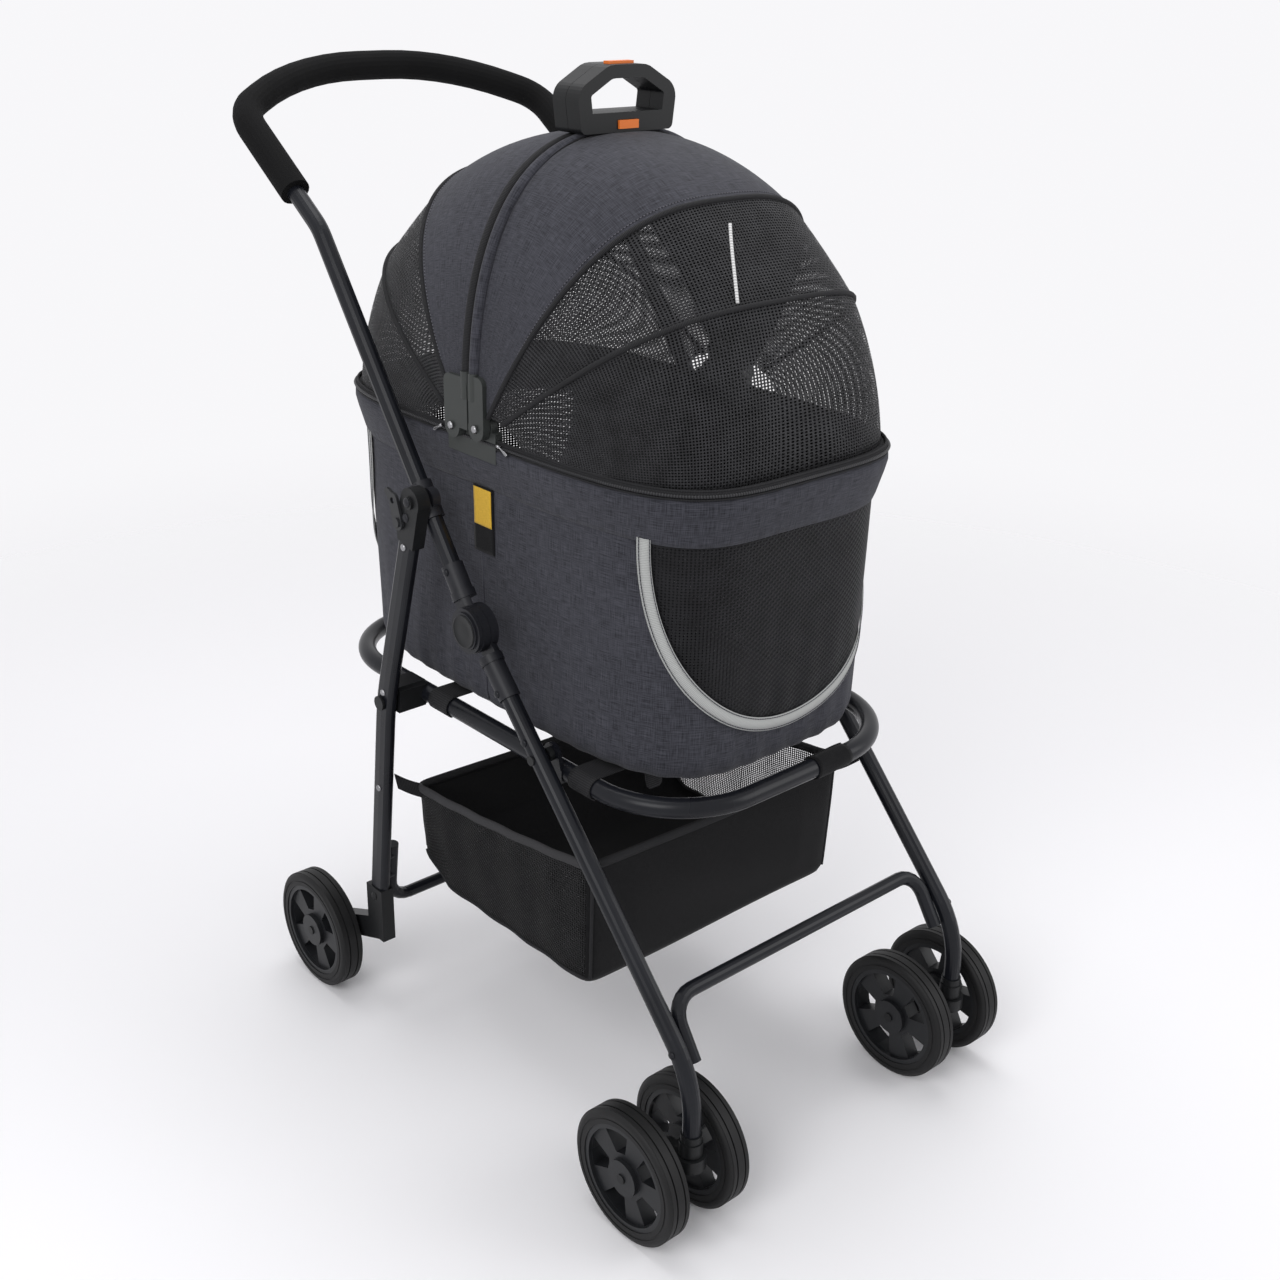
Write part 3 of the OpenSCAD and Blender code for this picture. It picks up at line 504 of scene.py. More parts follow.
def front_place(grid, j):
    """Arc length from the middle of the front, for a column of an even ring."""
    count = grid.shape[1]
    middle = grid[grid.shape[0] // 2]
    total = lengths(np.vstack([middle, middle[:1]]))[-1]
    front = int(np.argmin(middle[:, 1] + np.abs(middle[:, 0]) * 0.05))
    offset = (j - front + count / 2) % count - count / 2
    return offset * total / count


def wall_point(s, z, end=-1, grow=0.0):
    """A point on the carrier wall, s metres round from the middle of its front (end=-1) or rear (end=1)."""
    level = min(max((z - BASE_Z - 0.001) / (RIM_Z - BASE_Z - 0.012), 0.0), 1.0)
    a, b = shell_ring(level)
    fine = squircle(a + grow, b + grow, PLAN_POWER, np.linspace(-math.pi / 2, math.pi * 1.5, 1601))
    walked = lengths(fine)
    total = walked[-1]
    start = 0.0 if end < 0 else total / 2
    place_at = (start + s) % total
    x, y = (np.interp(place_at, walked, fine[:, k]) for k in range(2))
    return np.array([x, y + CABIN_Y, z])


def in_window(s, z):
    return (s / WINDOW_HALF) ** 2 + ((WINDOW_TOP - z) / (WINDOW_TOP - WINDOW_LOW)) ** 2 < 1 and z < WINDOW_TOP


shell_levels = np.concatenate([np.linspace(0, 0.1, 8)[:-1], np.linspace(0.1, 1, LEVELS)])
walls = shell_grid(AROUND, shell_levels)


def is_window(i, j):
    z = (walls[i, j, 2] + walls[i + 1, j, 2]) / 2
    s = front_place(walls, j + 0.5)
    half = lengths(np.vstack([walls[i], walls[i, :1]]))[-1] / 2
    return in_window(s, z) or in_window(s - math.copysign(half, s), z)


shell = grid_object(
    "carrier_shell", walls, [CHARCOAL, BLACK_CLOTH], closed=True, keep=lambda i, j: not is_window(i, j)
)
thicken(shell, SHELL_T, -1, lining=1)
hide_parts("carrier_tub")
attach(shell, "carrier")
windows = grid_object("carrier_windows", walls, [WINDOW_MESH], closed=True, keep=is_window)
thicken(windows, 0.0006, -1)
attach(windows, "carrier")

# floor of the soft shell
floor_ring = walls[0]
floor_points = [np.array([0, CABIN_Y, BASE_Z + 0.0012])] + list(floor_ring)
floor_faces = [[0, 1 + (j + 1) % AROUND, 1 + j] for j in range(AROUND)]
floor_uvs = [[tuple(floor_points[k][:2]) for k in face] for face in floor_faces]
under = mesh_object("carrier_floor", floor_points, floor_faces, floor_uvs, [BLACK_CLOTH])
thicken(under, 0.003, -1)
attach(under, "carrier")


def ribbon(name, centre, width_to, material, body, slot, thickness=0.0009):
    """A flat tape: centre and width_to are matching lines of points, its two edges."""
    grid = np.array([centre, (np.array(centre) + np.array(width_to)) / 2, width_to])
    made = grid_object(name, grid, [material])
    thicken(made, thickness, 0)
    return attach(made, body)


def window_line(end, grow, inset=0.0):
    points = []
    for angle in np.linspace(0, math.pi, 61):
        s = (WINDOW_HALF - inset) * math.cos(angle)
        z = WINDOW_TOP - (WINDOW_TOP - WINDOW_LOW - inset) * math.sin(angle)
        points.append(wall_point(s, z, end, grow))
    return points


for end, word in ((-1, "front"), (1, "rear")):
    edges = [window_line(end, TAPE_LIFT, inset) for inset in TAPE_EDGES]
    ribbon(f"window_tape_{word}", *edges, TAPE, "carrier", "fabric_charcoal")
    for inset, side in zip(TAPE_STITCHES, ("outer", "inner")):
        line = window_line(end, TAPE_LIFT + 0.0006, inset)
        stitch = tube(f"window_stitch_{word}_{side}", line, 0.00045, THREAD, 6)
        attach(stitch, "carrier")

# side seams, in line with the side tab
for side, word in reversed(SIDES):
    seam = []
    for z in np.linspace(BASE_Z + 0.012, RIM_Z - 0.03, 40):
        level = (z - BASE_Z) / (RIM_Z - BASE_Z)
        a, _ = shell_ring(level)
        seam.append((side * (a + 0.0006), (tab_lo[1] + tab_hi[1]) / 2 + 0.006, z))
    made = tube(f"side_seam_{word}", seam, 0.0012, CHARCOAL, 8, flat=0.6, normal=(side, 0, 0))
    attach(made, "carrier")

# ---------- rim band and zip ----------

RIM_A = rim_hi[0]
RIM_B = (rim_hi[1] - rim_lo[1]) / 2


def ring_sweep(name, profile, materials, count=192, wobble=0.0):
    """A band round the rim. profile lists how far out from the rim frame's face and how high above the rim."""
    rows = []
    angle = np.linspace(0, math.tau, count, endpoint=False)
    for out, rise in profile:
        ring = even_ring(RIM_A + out, RIM_B + out, PLAN_POWER, count)
        wave = wobble * np.sin(angle * 9 + rise * 40) * min(1.0, abs(rise) * 40)
        rows.append(np.column_stack([ring[:, 0], ring[:, 1] + CABIN_Y, RIM_Z + rise + wave]))
    return grid_object(name, np.array(rows), materials, closed=True)


band_profile = [
    (-0.012, -0.047), (-0.0095, -0.046), (-0.0075, -0.040), (-0.005, -0.030), (-0.002, -0.018),
    (0.0, -0.008), (-0.0002, -0.003), (-0.002, 0.0005), (-0.006, 0.0015), (-0.010, 0.001),
]
band = ring_sweep("rim_band", band_profile, [CHARCOAL], wobble=0.0006)
thicken(band, 0.002, -1)
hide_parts("rim_frame")
attach(band, "carrier")

zip_profile = [(-0.003, 0.0005), (-0.001, 0.002), (-0.0008, 0.005), (-0.0015, 0.0075), (-0.003, 0.0085)]
zip_tape = ring_sweep("rim_zip_tape", zip_profile, [BINDING])
thicken(zip_tape, 0.0012, -1)
attach(zip_tape, "carrier")
for rise, out, radius, word, look in (
    (0.0045, -0.0002, 0.0016, "teeth", ZIP), (0.0012, -0.0008, 0.0010, "lower_edge", BINDING),
    (0.0085, -0.0026, 0.0013, "upper_edge", BINDING),
):
    line = level_ring(RIM_A + out, RIM_B + out, 260, RIM_Z + rise)
    made = tube(f"rim_zip_{word}", line, radius, look, 8, closed=True)
    attach(made, "carrier")
line = level_ring(RIM_A - 0.0088, RIM_B - 0.0088, 260, RIM_Z - 0.0405)
made = tube("rim_band_stitch", line, 0.0006, THREAD, 6, closed=True)
attach(made, "carrier")

# ---------- canopies ----------

COVER_Z = RIM_Z + 0.003
ACROSS = 72
RIB_1 = 57.0
RIB_2 = 34.0
PIPING_POINTS = 91
ZIP_POINTS = 24
ZIP_ACROSS = (0.55, 0.51)


def cover_point(dir, across, lift, grow=0.0):
    """A point of a canopy cover: across runs from 0 to 1 over the width, and lift is the rib's angle in
    degrees, from the rim up to the bow."""
    front = dir < 0
    bow_y = (FRONT_BOW_Y if front else REAR_BOW_Y) + dir * BOW_R * 0.4
    reach = (bow_y - COVER_FRONT) if front else (COVER_REAR - bow_y)
    theta = math.radians(lift)
    blend = math.sin(theta)
    slack = 0.003 * math.sin(math.pi * min(1, lift / RIB_2)) if lift < RIB_2 else 0.0
    if RIB_2 <= lift < RIB_1:
        slack = 0.004 * math.sin(math.pi * (lift - RIB_2) / (RIB_1 - RIB_2))
    wide = (HALF_W + 0.006) * (1 - blend) + BOW_X * blend
    tall = reach * (1 - blend) + (BOW_TOP - BOW_R + 0.001 - COVER_Z) * blend
    power = PLAN_POWER * (1 - blend) + BOW_POWER * blend
    angle = math.radians(3 + across * 174)
    x, r = squircle(wide + grow, tall + grow, power, np.array(angle))
    r = r * (1 - slack / tall * math.sin(math.pi * across))
    return np.array([x, bow_y + dir * r * math.cos(theta), COVER_Z + r * math.sin(theta)])


def cover_line(dir, lift, grow):
    """A line right across a cover, just off its face."""
    return [cover_point(dir, across, lift, grow) for across in np.linspace(0, 1, PIPING_POINTS)]


def cover_angles():
    stops = [0, RIB_2, RIB_1, 90]
    parts = [np.linspace(a, b, n, endpoint=False) for a, b, n in zip(stops, stops[1:], (14, 12, 16))]
    return np.concatenate(parts + [[90.0]])


def blend_cover(made):
    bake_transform(made)


def make_cover(dir):
    word = "front" if dir < 0 else "rear"
    angles = cover_angles()
    grid = np.array([[cover_point(dir, j / ACROSS, a) for j in range(ACROSS + 1)] for a in angles])

    def index(i, j):
        return 0 if angles[i] >= RIB_1 - 0.01 else 1

    cover = grid_object(f"{word}_cover_cloth", grid, [CHARCOAL, MESH], index, flip=dir > 0)
    thicken(cover, 0.0006, -1)
    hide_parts(f"{word}_cover")
    blend_cover(cover)
    for lift, radius, label in ((RIB_1, 0.0026, "rib_1"), (RIB_2, 0.0026, "rib_2"), (89.5, 0.0016, "bow_edge")):
        piping = tube(f"{word}_{label}_piping", cover_line(dir, lift, 0.0008), radius, BINDING, 8)
        blend_cover(piping)
    stitch = tube(f"{word}_band_stitch", cover_line(dir, RIB_1 + 1.6, 0.0006), 0.0005, THREAD, 6)
    blend_cover(stitch)
    hem = tube(f"{word}_hem", cover_line(dir, 0.5, 0.0015), 0.003, BINDING, 8, flat=0.6)
    blend_cover(hem)


for dir in (-1, 1):
    make_cover(dir)

# white zip of the front mesh, near the middle and between the ribs
zip_places = zip(np.linspace(*ZIP_ACROSS, ZIP_POINTS), np.linspace(RIB_2 + 1, RIB_1 - 5.5, ZIP_POINTS))
line = [cover_point(-1, across, lift, 0.0012) for across, lift in zip_places]
made = tube("front_cover_zip", line, 0.0016, WHITE_ZIP, 8, flat=0.6)
blend_cover(made)


def bow_line(y, grow, count=90, low=0.034):
    """The bow's middle line, pushed outwards by grow."""
    pin_z = RIM_Z + 0.018
    half_h = BOW_TOP - pin_z - BOW_R
    angle = np.linspace(0, math.pi, 1201)
    fine = squircle(BOW_X + grow, half_h + grow, BOW_POWER, angle)
    fine = fine[fine[:, 1] > low]
    walked = lengths(fine)
    places = np.linspace(0, walked[-1], count)
    return [(np.interp(p, walked, fine[:, 0]), y, pin_z + np.interp(p, walked, fine[:, 1])) for p in places]


sleeve = tube("front_bow_sleeve", bow_line(FRONT_BOW_Y, 0.0), BOW_R + 0.0012, CHARCOAL, 14, normal=(0, 1, 0))
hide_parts("front_bow")
attach(sleeve, "front_canopy")
rear_line = bow_line(REAR_BOW_Y, 0.0)
rear_sleeve = tube("rear_bow_sleeve", rear_line, BOW_R + 0.0008, BINDING, 14, normal=(0, 1, 0))
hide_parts("rear_bow")
attach(rear_sleeve, "rear_canopy")
edge_line = bow_line(FRONT_BOW_Y + BOW_R + 0.0002, 0.002)
edge = tube("front_bow_edge", edge_line, 0.0014, BINDING, 8, normal=(0, 1, 0))
attach(edge, "front_canopy")

# ---------- floor pad ----------


PAD_PROFILE = [
    (0.0, 1.0), (0.3, 1.0), (0.55, 0.97), (0.75, 0.9), (0.88, 0.78), (0.96, 0.62),
    (1.0, 0.4), (0.99, 0.18), (0.95, 0.05), (0.8, 0.0), (0.0, 0.0),
]


def crowned_pad():
    """A padded mat: crowned top, rounded sides that pull in between the corners."""
    half_a, half_b = pad_hi[0] - 0.002, (pad_hi[1] - pad_lo[1]) / 2 - 0.002
    rings = []
    thick = pad_hi[2] - pad_lo[2]
    for share, rise in PAD_PROFILE:
        z = pad_lo[2] + 0.0005 + rise * (thick - 0.001)
        rings.append(level_ring(max(half_a * share, 0.001), max(half_b * share, 0.001), 96, z))
    return grid_object("floor_mat", np.array(rings), [PAD_CLOTH], closed=True, flip=True)


def evaluated_copy(made):
    """The object's mesh with its modifiers applied, as plain data."""
    bpy.context.view_layer.update()
    graph = bpy.context.evaluated_depsgraph_get()
    return bpy.data.meshes.new_from_object(made.evaluated_get(graph))


def puff(made, voxel, pressure, cap, floor_z):
    """Swells a closed form as stuffed cloth, with no point moving further than cap or under floor_z."""
    remesh = made.modifiers.new("remesh", "REMESH")
    remesh.mode = "VOXEL"
    remesh.voxel_size = voxel
    baked = evaluated_copy(made)
    made.modifiers.clear()
    made.data = baked
    count = len(baked.vertices)
    before = np.empty(count * 3, np.float32)
    baked.vertices.foreach_get("co", before)
    cloth = made.modifiers.new("cloth", "CLOTH")
    cloth.settings.use_pressure = True
    cloth.settings.uniform_pressure_force = pressure
    cloth.settings.effector_weights.gravity = 0
    cloth.settings.quality = 4
    cloth.point_cache.frame_start = 1
    cloth.point_cache.frame_end = 20
    for step in range(1, 21):
        bpy.context.scene.frame_set(step)
    swollen = evaluated_copy(made)
    after = np.empty(count * 3, np.float32)
    swollen.vertices.foreach_get("co", after)
    made.modifiers.clear()
    bpy.context.scene.frame_set(1)
    before, after = before.reshape(-1, 3), after.reshape(-1, 3)
    move = np.nan_to_num(after - before)
    far = np.linalg.norm(move, axis=1)
    move *= np.minimum(1, cap / np.maximum(far, 1e-9))[:, None]
    result = before + move
    result[:, 2] = np.maximum(result[:, 2], floor_z)
    made.data.vertices.foreach_set("co", result.astype(np.float32).ravel())
    made.data.update()


def channels(made, lines, depth, width, low_z):
    """Sewn channels across the pad: the top is pulled down along each line of y."""
    for vertex in made.data.vertices:
        pull = sum(math.exp(-(((vertex.co.y - y) / width) ** 2)) for y in lines)
        vertex.co.z -= depth * min(pull, 1) * max(0.0, (vertex.co.z - low_z) / (pad_hi[2] - low_z))


mat = crowned_pad()
puff(mat, 0.005, 4, 0.006, pad_lo[2] + 0.0003)
pad_length = pad_hi[1] - pad_lo[1]
channel_lines = [pad_lo[1] + pad_length * share for share in (0.25, 0.5, 0.75)]
channels(mat, channel_lines, 0.005, 0.007, pad_lo[2])
smooth = mat.modifiers.new("smooth", "SUBSURF")
smooth.levels = smooth.render_levels = 1
mat.data.polygons.foreach_set("use_smooth", [True] * len(mat.data.polygons))
finish_with(mat, PAD_CLOTH)
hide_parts("floor_pad")
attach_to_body(mat, "carrier")

pad_tree = face_tree(mat.data)
for number, y in enumerate(channel_lines):
    line = []
    for x in np.linspace(pad_lo[0] + 0.012, pad_hi[0] - 0.012, 60):
        hit = pad_tree.ray_cast(Vector((x, y, pad_hi[2] + 0.05)), Vector((0, 0, -1)))[0]
        line.append((x, y, (hit.z if hit else pad_hi[2]) + 0.0002))
    seam = tube(f"pad_seam_{number + 1}", line, 0.0008, THREAD, 6)
    attach(seam, "carrier")
line = level_ring(pad_hi[0] + 0.0005, pad_length / 2 + 0.0005, 200, (pad_lo[2] + pad_hi[2]) / 2)
piping = tube("pad_piping", line, 0.0022, BINDING, 8, closed=True)
attach(piping, "carrier")

# ---------- side tab, bare ----------

TAB_SIDE = -1 if tab_hi[0] < 0 else 1
TAB_OUT = max(abs(tab_lo[0]), abs(tab_hi[0]))


def hanging_tab(name, y0, y1, z0, z1, lift, material):
    """A cloth tab sewn along its top, lying on the wall with a slight curl."""
    rows = []
    for z in np.linspace(z1, z0, 18):
        fall = (tab_hi[2] - z) / (tab_hi[2] - tab_lo[2])
        curl = 0.0003 * math.sin(fall * 5)
        out = [TAB_OUT + lift - 0.0006 * fall + curl * math.cos(across * 4) for across in np.linspace(0, 1, 10)]
        rows.append([(TAB_SIDE * x, y, z) for x, y in zip(out, np.linspace(y0, y1, 10))])
    made = grid_object(name, np.array(rows), [material])
    thicken(made, 0.0007, 0)
    return attach(made, "carrier")


TAB_LIFT = 0.0011
TAB_BARE = 0.032            # the backing that shows below the yellow cloth
hanging_tab(
    "label_backing", tab_lo[1] - 0.001, tab_hi[1] + 0.001, tab_lo[2] + 0.004, tab_hi[2], 0.0,
    BLACK_CLOTH
)
tab = hanging_tab(
    "label_cloth", tab_lo[1] + 0.001, tab_hi[1] - 0.001, tab_lo[2] + TAB_BARE, tab_hi[2] - 0.002, TAB_LIFT,
    TAB_CLOTH
)
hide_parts("label_tab")

# ---------- straps and wrap on the seat hoop ----------

HOOP_R = (hoop_hi[2] - hoop_lo[2]) / 2
HOOP_X = hoop_hi[0] - HOOP_R
HOOP_Z = (hoop_hi[2] + hoop_lo[2]) / 2
strap_lo, strap_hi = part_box("support_straps")
STRAP_W = 0.032


def support_strap(name, y):
    turn = HOOP_R + 0.0012
    path = []
    for a in np.radians(np.linspace(-70, 90, 22)):
        path.append((-HOOP_X - turn * math.cos(a), HOOP_Z + turn * math.sin(a)))
    for x in np.linspace(-HOOP_X + 0.004, HOOP_X - 0.004, 40):
        path.append((x, HOOP_Z + turn - 0.0008 * math.cos(x / HOOP_X * math.pi / 2)))
    for a in np.radians(np.linspace(90, -70, 22)):
        path.append((HOOP_X + turn * math.cos(a), HOOP_Z + turn * math.sin(a)))
    rows = [[(x, y + w, z) for w in np.linspace(-STRAP_W / 2, STRAP_W / 2, 7)] for x, z in path]
    made = grid_object(name, np.array(rows), [WEBBING], flip=True)
    thicken(made, 0.0014, 0)
    return attach(made, "seat_frame")


front_strap = support_strap("support_strap_front", strap_lo[1] + STRAP_W / 2)
support_strap("support_strap_rear", strap_hi[1] - STRAP_W / 2)
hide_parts("support_straps")

wrap_lo, wrap_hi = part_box("hoop_wrap")
wrap_y = (wrap_lo[1] + wrap_hi[1]) / 2
wrap_z = (wrap_lo[2] + wrap_hi[2]) / 2
wrap_rows = []
for x in np.linspace(wrap_lo[0], wrap_hi[0], 12):
    row = []
    for a in np.linspace(0, math.tau * 1.09, 52):
        radius = HOOP_R + 0.0008 + 0.0009 * (a / math.tau) + 0.0004 * math.sin(a * 3 + x * 120)
        row.append((x, wrap_y + radius * math.cos(a + 0.6), wrap_z + radius * math.sin(a + 0.6)))
    wrap_rows.append(row)
wrap = grid_object("hoop_wrap_cloth", np.array(wrap_rows), [BLACK_CLOTH])
thicken(wrap, 0.0009, 0)
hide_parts("hoop_wrap")
attach(wrap, "seat_frame")

# ---------- basket ----------

BASKET_X = 0.1805
BASKET_FRONT = -0.208
BASKET_REAR = 0.08775
BASKET_FLOOR = basket_lo[2]
BASKET_TOP_FRONT = 0.326
BASKET_TOP_REAR = 0.292
CHAMFER_Y = 0.03275
CHAMFER_RISE = 0.034


def basket_floor_z(y):
    share = min(max((y - CHAMFER_Y) / (0.08575 - CHAMFER_Y), 0.0), 1.0)
    return BASKET_FLOOR + CHAMFER_RISE * share


def basket_point(angle_x, angle_y, level):
    """A point of the basket's wall: its place in a unit plan, and a level from the floor to the top edge."""
    lean = 0.006 * (1 - level)
    front = BASKET_FRONT + lean
    rear = BASKET_REAR - 0.004 * (1 - level)
    y = (front + rear) / 2 + angle_y * (rear - front) / 2
    x = angle_x * (BASKET_X - 0.003 * (1 - level))
    along = (y - BASKET_FRONT) / (BASKET_REAR - BASKET_FRONT)
    middle_y = 1 - abs(2 * along - 1)
    middle_x = 1 - abs(x / BASKET_X)
    top = BASKET_TOP_FRONT + (BASKET_TOP_REAR - BASKET_TOP_FRONT) * along
    top -= 0.004 * math.sin(math.pi * along) * (abs(angle_x) > 0.9)
    top -= 0.006 * math.sin(math.pi / 2 * min(1, middle_x))
    bottom = basket_floor_z(y) + 0.002
    z = bottom + (top - bottom) * level
    belly = math.sin(math.pi * level)
    x += angle_x * 0.0012 * belly * min(1, middle_y * 3)
    y += (abs(angle_y) > 0.9) * angle_y * 0.005 * belly * min(1, middle_x * 3)
    crease = 0.0010 * math.sin(along * 31 + level * 5) * math.sin(level * 7 + x * 25)
    return x + crease * (abs(angle_x) > 0.9), y + crease * (abs(angle_y) > 0.9), z


BASKET_POWER = 26
basket_count = 240
unit_ring = even_ring(0.5, 0.45, BASKET_POWER, basket_count) / np.array([0.5, 0.45])
basket_levels = np.linspace(0, 1, 26)
basket_rows = []
for share in (0.0, 0.15, 0.3, 0.45, 0.6, 0.72, 0.84, 0.93, 0.985):
    row = []
    for ux, uy in unit_ring * max(share, 0.004):
        x, y, _ = basket_point(ux, uy, 0)
        slack = 0.007 * (1 - max(abs(ux), abs(uy)) ** 2) + 0.0015 * math.sin(x * 40) * math.sin(y * 33 + 1)
        row.append((x, y, basket_floor_z(y) + 0.001 - slack * (1 - share ** 6)))
    basket_rows.append(row)
basket_floor_rows = len(basket_rows)
for level in basket_levels[1:]:
    basket_rows.append([basket_point(ux, uy, level) for ux, uy in unit_ring])
basket_grid = np.array(basket_rows)


def basket_index(i, j):
    ux, uy = unit_ring[j]
    side = abs(ux) > 0.985 and abs(uy) < 0.985
    return 1 if side and i >= basket_floor_rows else 0


def fold_basket(made):
    """Hangs a basket piece on the seat frame, with a mesh of its own."""
    attach(made, "seat_frame")
    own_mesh(made)


basket = grid_object("basket_cloth", basket_grid, [BLACK_CLOTH, BASKET_MESH], basket_index, closed=True)
thicken(basket, 0.0008, -1)
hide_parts("basket")
fold_basket(basket)


def ring_part(row, want):
    """The run of points of a basket row whose plan place passes want."""
    picks = [j for j in range(basket_count) if want(*unit_ring[j])]
    jump = next((n for n in range(1, len(picks)) if picks[n] != picks[n - 1] + 1), 0)
    return [tuple(row[j]) for j in picks[jump:] + picks[:jump]]


LEG_TABS = {"front": (0.1905, -0.2235, 0.334), "rear": (0.2005, 0.0950, 0.302)}


def corner_strap(name, sx, sy, corner):
    """A flat webbing tongue from the basket's top corner to the leg beside it."""
    front = sy < 0
    x, y, z = LEG_TABS["front" if front else "rear"]
    start = Vector(corner) + Vector((-sx * 0.003, 0.002 if front else -0.002, -0.007))
    end = Vector((sx * x, y, z))
    rows = []
    for share in np.linspace(0, 1, 12):
        centre = start.lerp(end, share) + Vector((0, 0, -0.0015 * math.sin(math.pi * share)))
        rows.append([tuple(centre + Vector((0, w * 0.4, w))) for w in np.linspace(-0.008, 0.008, 5)])
    made = grid_object(name, np.array(rows), [WEBBING])
    thicken(made, 0.0016, 0)
    return made


top_row = basket_grid[-1]
for name, want, look in (
    ("left", lambda ux, uy: ux > 0.98, GREY_BINDING), ("right", lambda ux, uy: ux < -0.98, GREY_BINDING),
    ("front", lambda ux, uy: uy < 0 and abs(ux) <= 0.985, BINDING),
    ("rear", lambda ux, uy: uy > 0 and abs(ux) <= 0.985, BINDING),
):
    fold_basket(tube(f"basket_binding_{name}", ring_part(top_row, want), 0.0032, look, 10, flat=1.6))
low_row = basket_grid[basket_floor_rows]
for name, want in (("left", lambda ux, uy: ux > 0.98), ("right", lambda ux, uy: ux < -0.98)):
    fold_basket(tube(f"basket_piping_{name}", ring_part(low_row, want), 0.0018, BINDING, 8))
for sx in (-1, 1):
    for sy in (-1, 1):
        corner = int(np.argmax(unit_ring[:, 0] * sx + unit_ring[:, 1] * sy))
        line = basket_grid[basket_floor_rows:, corner]
        side = "left" if sx > 0 else "right"
        end = "front" if sy < 0 else "rear"
        fold_basket(tube(f"basket_corner_{end}_{side}", line, 0.0018, BINDING, 8))
        fold_basket(corner_strap(f"basket_strap_{end}_{side}", sx, sy, line[-1]))

# ---------- small metal pieces ----------


def turned(name, origin, direction, profile, material, body, sides=24):
    """A small lathe-turned piece. profile is a list of (radius, distance along direction)."""
    axis = Vector(direction).normalized()
    turn = axis.to_track_quat("Z", "Y")
    rows = []
    for radius, along in profile:
        ring = [Vector((radius * math.cos(a), radius * math.sin(a), along)) for a in turns(sides)]
        rows.append([tuple(Vector(origin) + turn @ point) for point in ring])
    made = grid_object(name, np.array(rows), [material], closed=True)
    return attach(made, body)


RIVET = [
    (0.0038, -0.0002), (0.0038, 0.0006), (0.0033, 0.0013), (0.0022, 0.0019), (0.0009, 0.0022), (0.0001, 0.0022),
]
PLATE_EDGE = 0.012
plate_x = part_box("front_hinge_plates")[1][0]
for side, word in reversed(SIDES):
    for end in ("front", "rear"):
        lo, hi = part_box(f"{end}_hinge_plates")
        y = lo[1] + PLATE_EDGE if end == "front" else hi[1] - PLATE_EDGE
        at = (side * plate_x, y, lo[2] + PLATE_EDGE)
        turned(f"{end}_canopy_rivet_{word}", at, (side, 0, 0), RIVET, STEEL, f"{end}_canopy")



OUTSIDE = 0.4


def outer_face(name, side, z, share=0.5):
    """A place on the outer face of a leg or bracket at a height, a share of the way across it."""
    tree = face_tree(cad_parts[name].data)
    lo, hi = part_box(name)
    found = []
    for y in np.linspace(lo[1], hi[1], 160):
        hit = tree.ray_cast(Vector((side * OUTSIDE, y, z)), Vector((-side, 0, 0)), OUTSIDE - 0.12)[0]
        if hit:
            found.append(hit)
    return found[int((len(found) - 1) * share)]


BOLT = [(r * 1.25, a * 1.1) for r, a in RIVET]
LEG_BOLTS = [               # node, body, profile, finish, heights
    ("rear_leg", "rear_legs", RIVET, STEEL, (0.594, 0.417, 0.296)),
    ("rear_foot", "rear_legs", BOLT, PLASTIC, (0.150,)),
    ("leg_cap", "rear_legs", BOLT, KNUCKLE, (0.627, 0.645)),
    ("upper_sleeve", "push_handle", RIVET, PAINT, (0.580,)),
    ("lower_sleeve", "front_frame", RIVET, PAINT, (0.478,)),
    ("front_leg", "front_frame", RIVET, PAINT, (0.440, 0.202)),
]
for node_name, body, profile, look, heights in LEG_BOLTS:
    for side, word in SIDES:
        for number, z in enumerate(heights):
            at = outer_face(f"{node_name}_{word}", side, z)
            turned(f"{node_name}_bolt_{word}_{number + 1}", at, (side, 0, 0), profile, look, body, 16)

hub_lo, hub_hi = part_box("hub_caps")
HUB_RING = [
    (0.0168, -0.0006), (0.0168, 0.0010), (0.0160, 0.0013), (0.0150, 0.0006), (0.0146, 0.0004),
    (0.008, 0.0006), (0.0002, 0.0007),
]
for side, word in SIDES:
    at = (side * hub_hi[0], (hub_lo[1] + hub_hi[1]) / 2, (hub_lo[2] + hub_hi[2]) / 2)
    turned(f"hub_disc_{word}", at, (side, 0, 0), HUB_RING, PLASTIC, "push_handle", 48)

# short strap ends that hang under the front of the carrier
BASE_STRAP_X = 0.098
BASE_STRAP_Y = -0.205
BASE_STRAP = ((0.0, 0.011), (0.012, 0.011), (0.022, 0.0105), (0.030, 0.009), (0.033, 0.006))
for side, word in SIDES:
    rows = []
    for fall, half in BASE_STRAP:
        across = side * BASE_STRAP_X + np.linspace(-half, half, 5)
        rows.append([(x, BASE_STRAP_Y - fall * 0.12, BASE_Z + 0.002 - fall) for x in across])
    made = grid_object(f"base_strap_{word}", np.array(rows), [WEBBING])
    thicken(made, 0.0022, 0)
    attach(made, "carrier")

PULL_SIZE = 0.5
PULL_PROFILE = [            # along the pull, half width, half thickness
    (-0.004, 0.0022, 0.0016), (-0.002, 0.004, 0.0024), (0.002, 0.004, 0.0026), (0.004, 0.0026, 0.002),
    (0.005, 0.0014, 0.0012), (0.010, 0.0018, 0.0010), (0.020, 0.0032, 0.0010), (0.026, 0.0034, 0.0010),
    (0.0285, 0.0020, 0.0009),
]


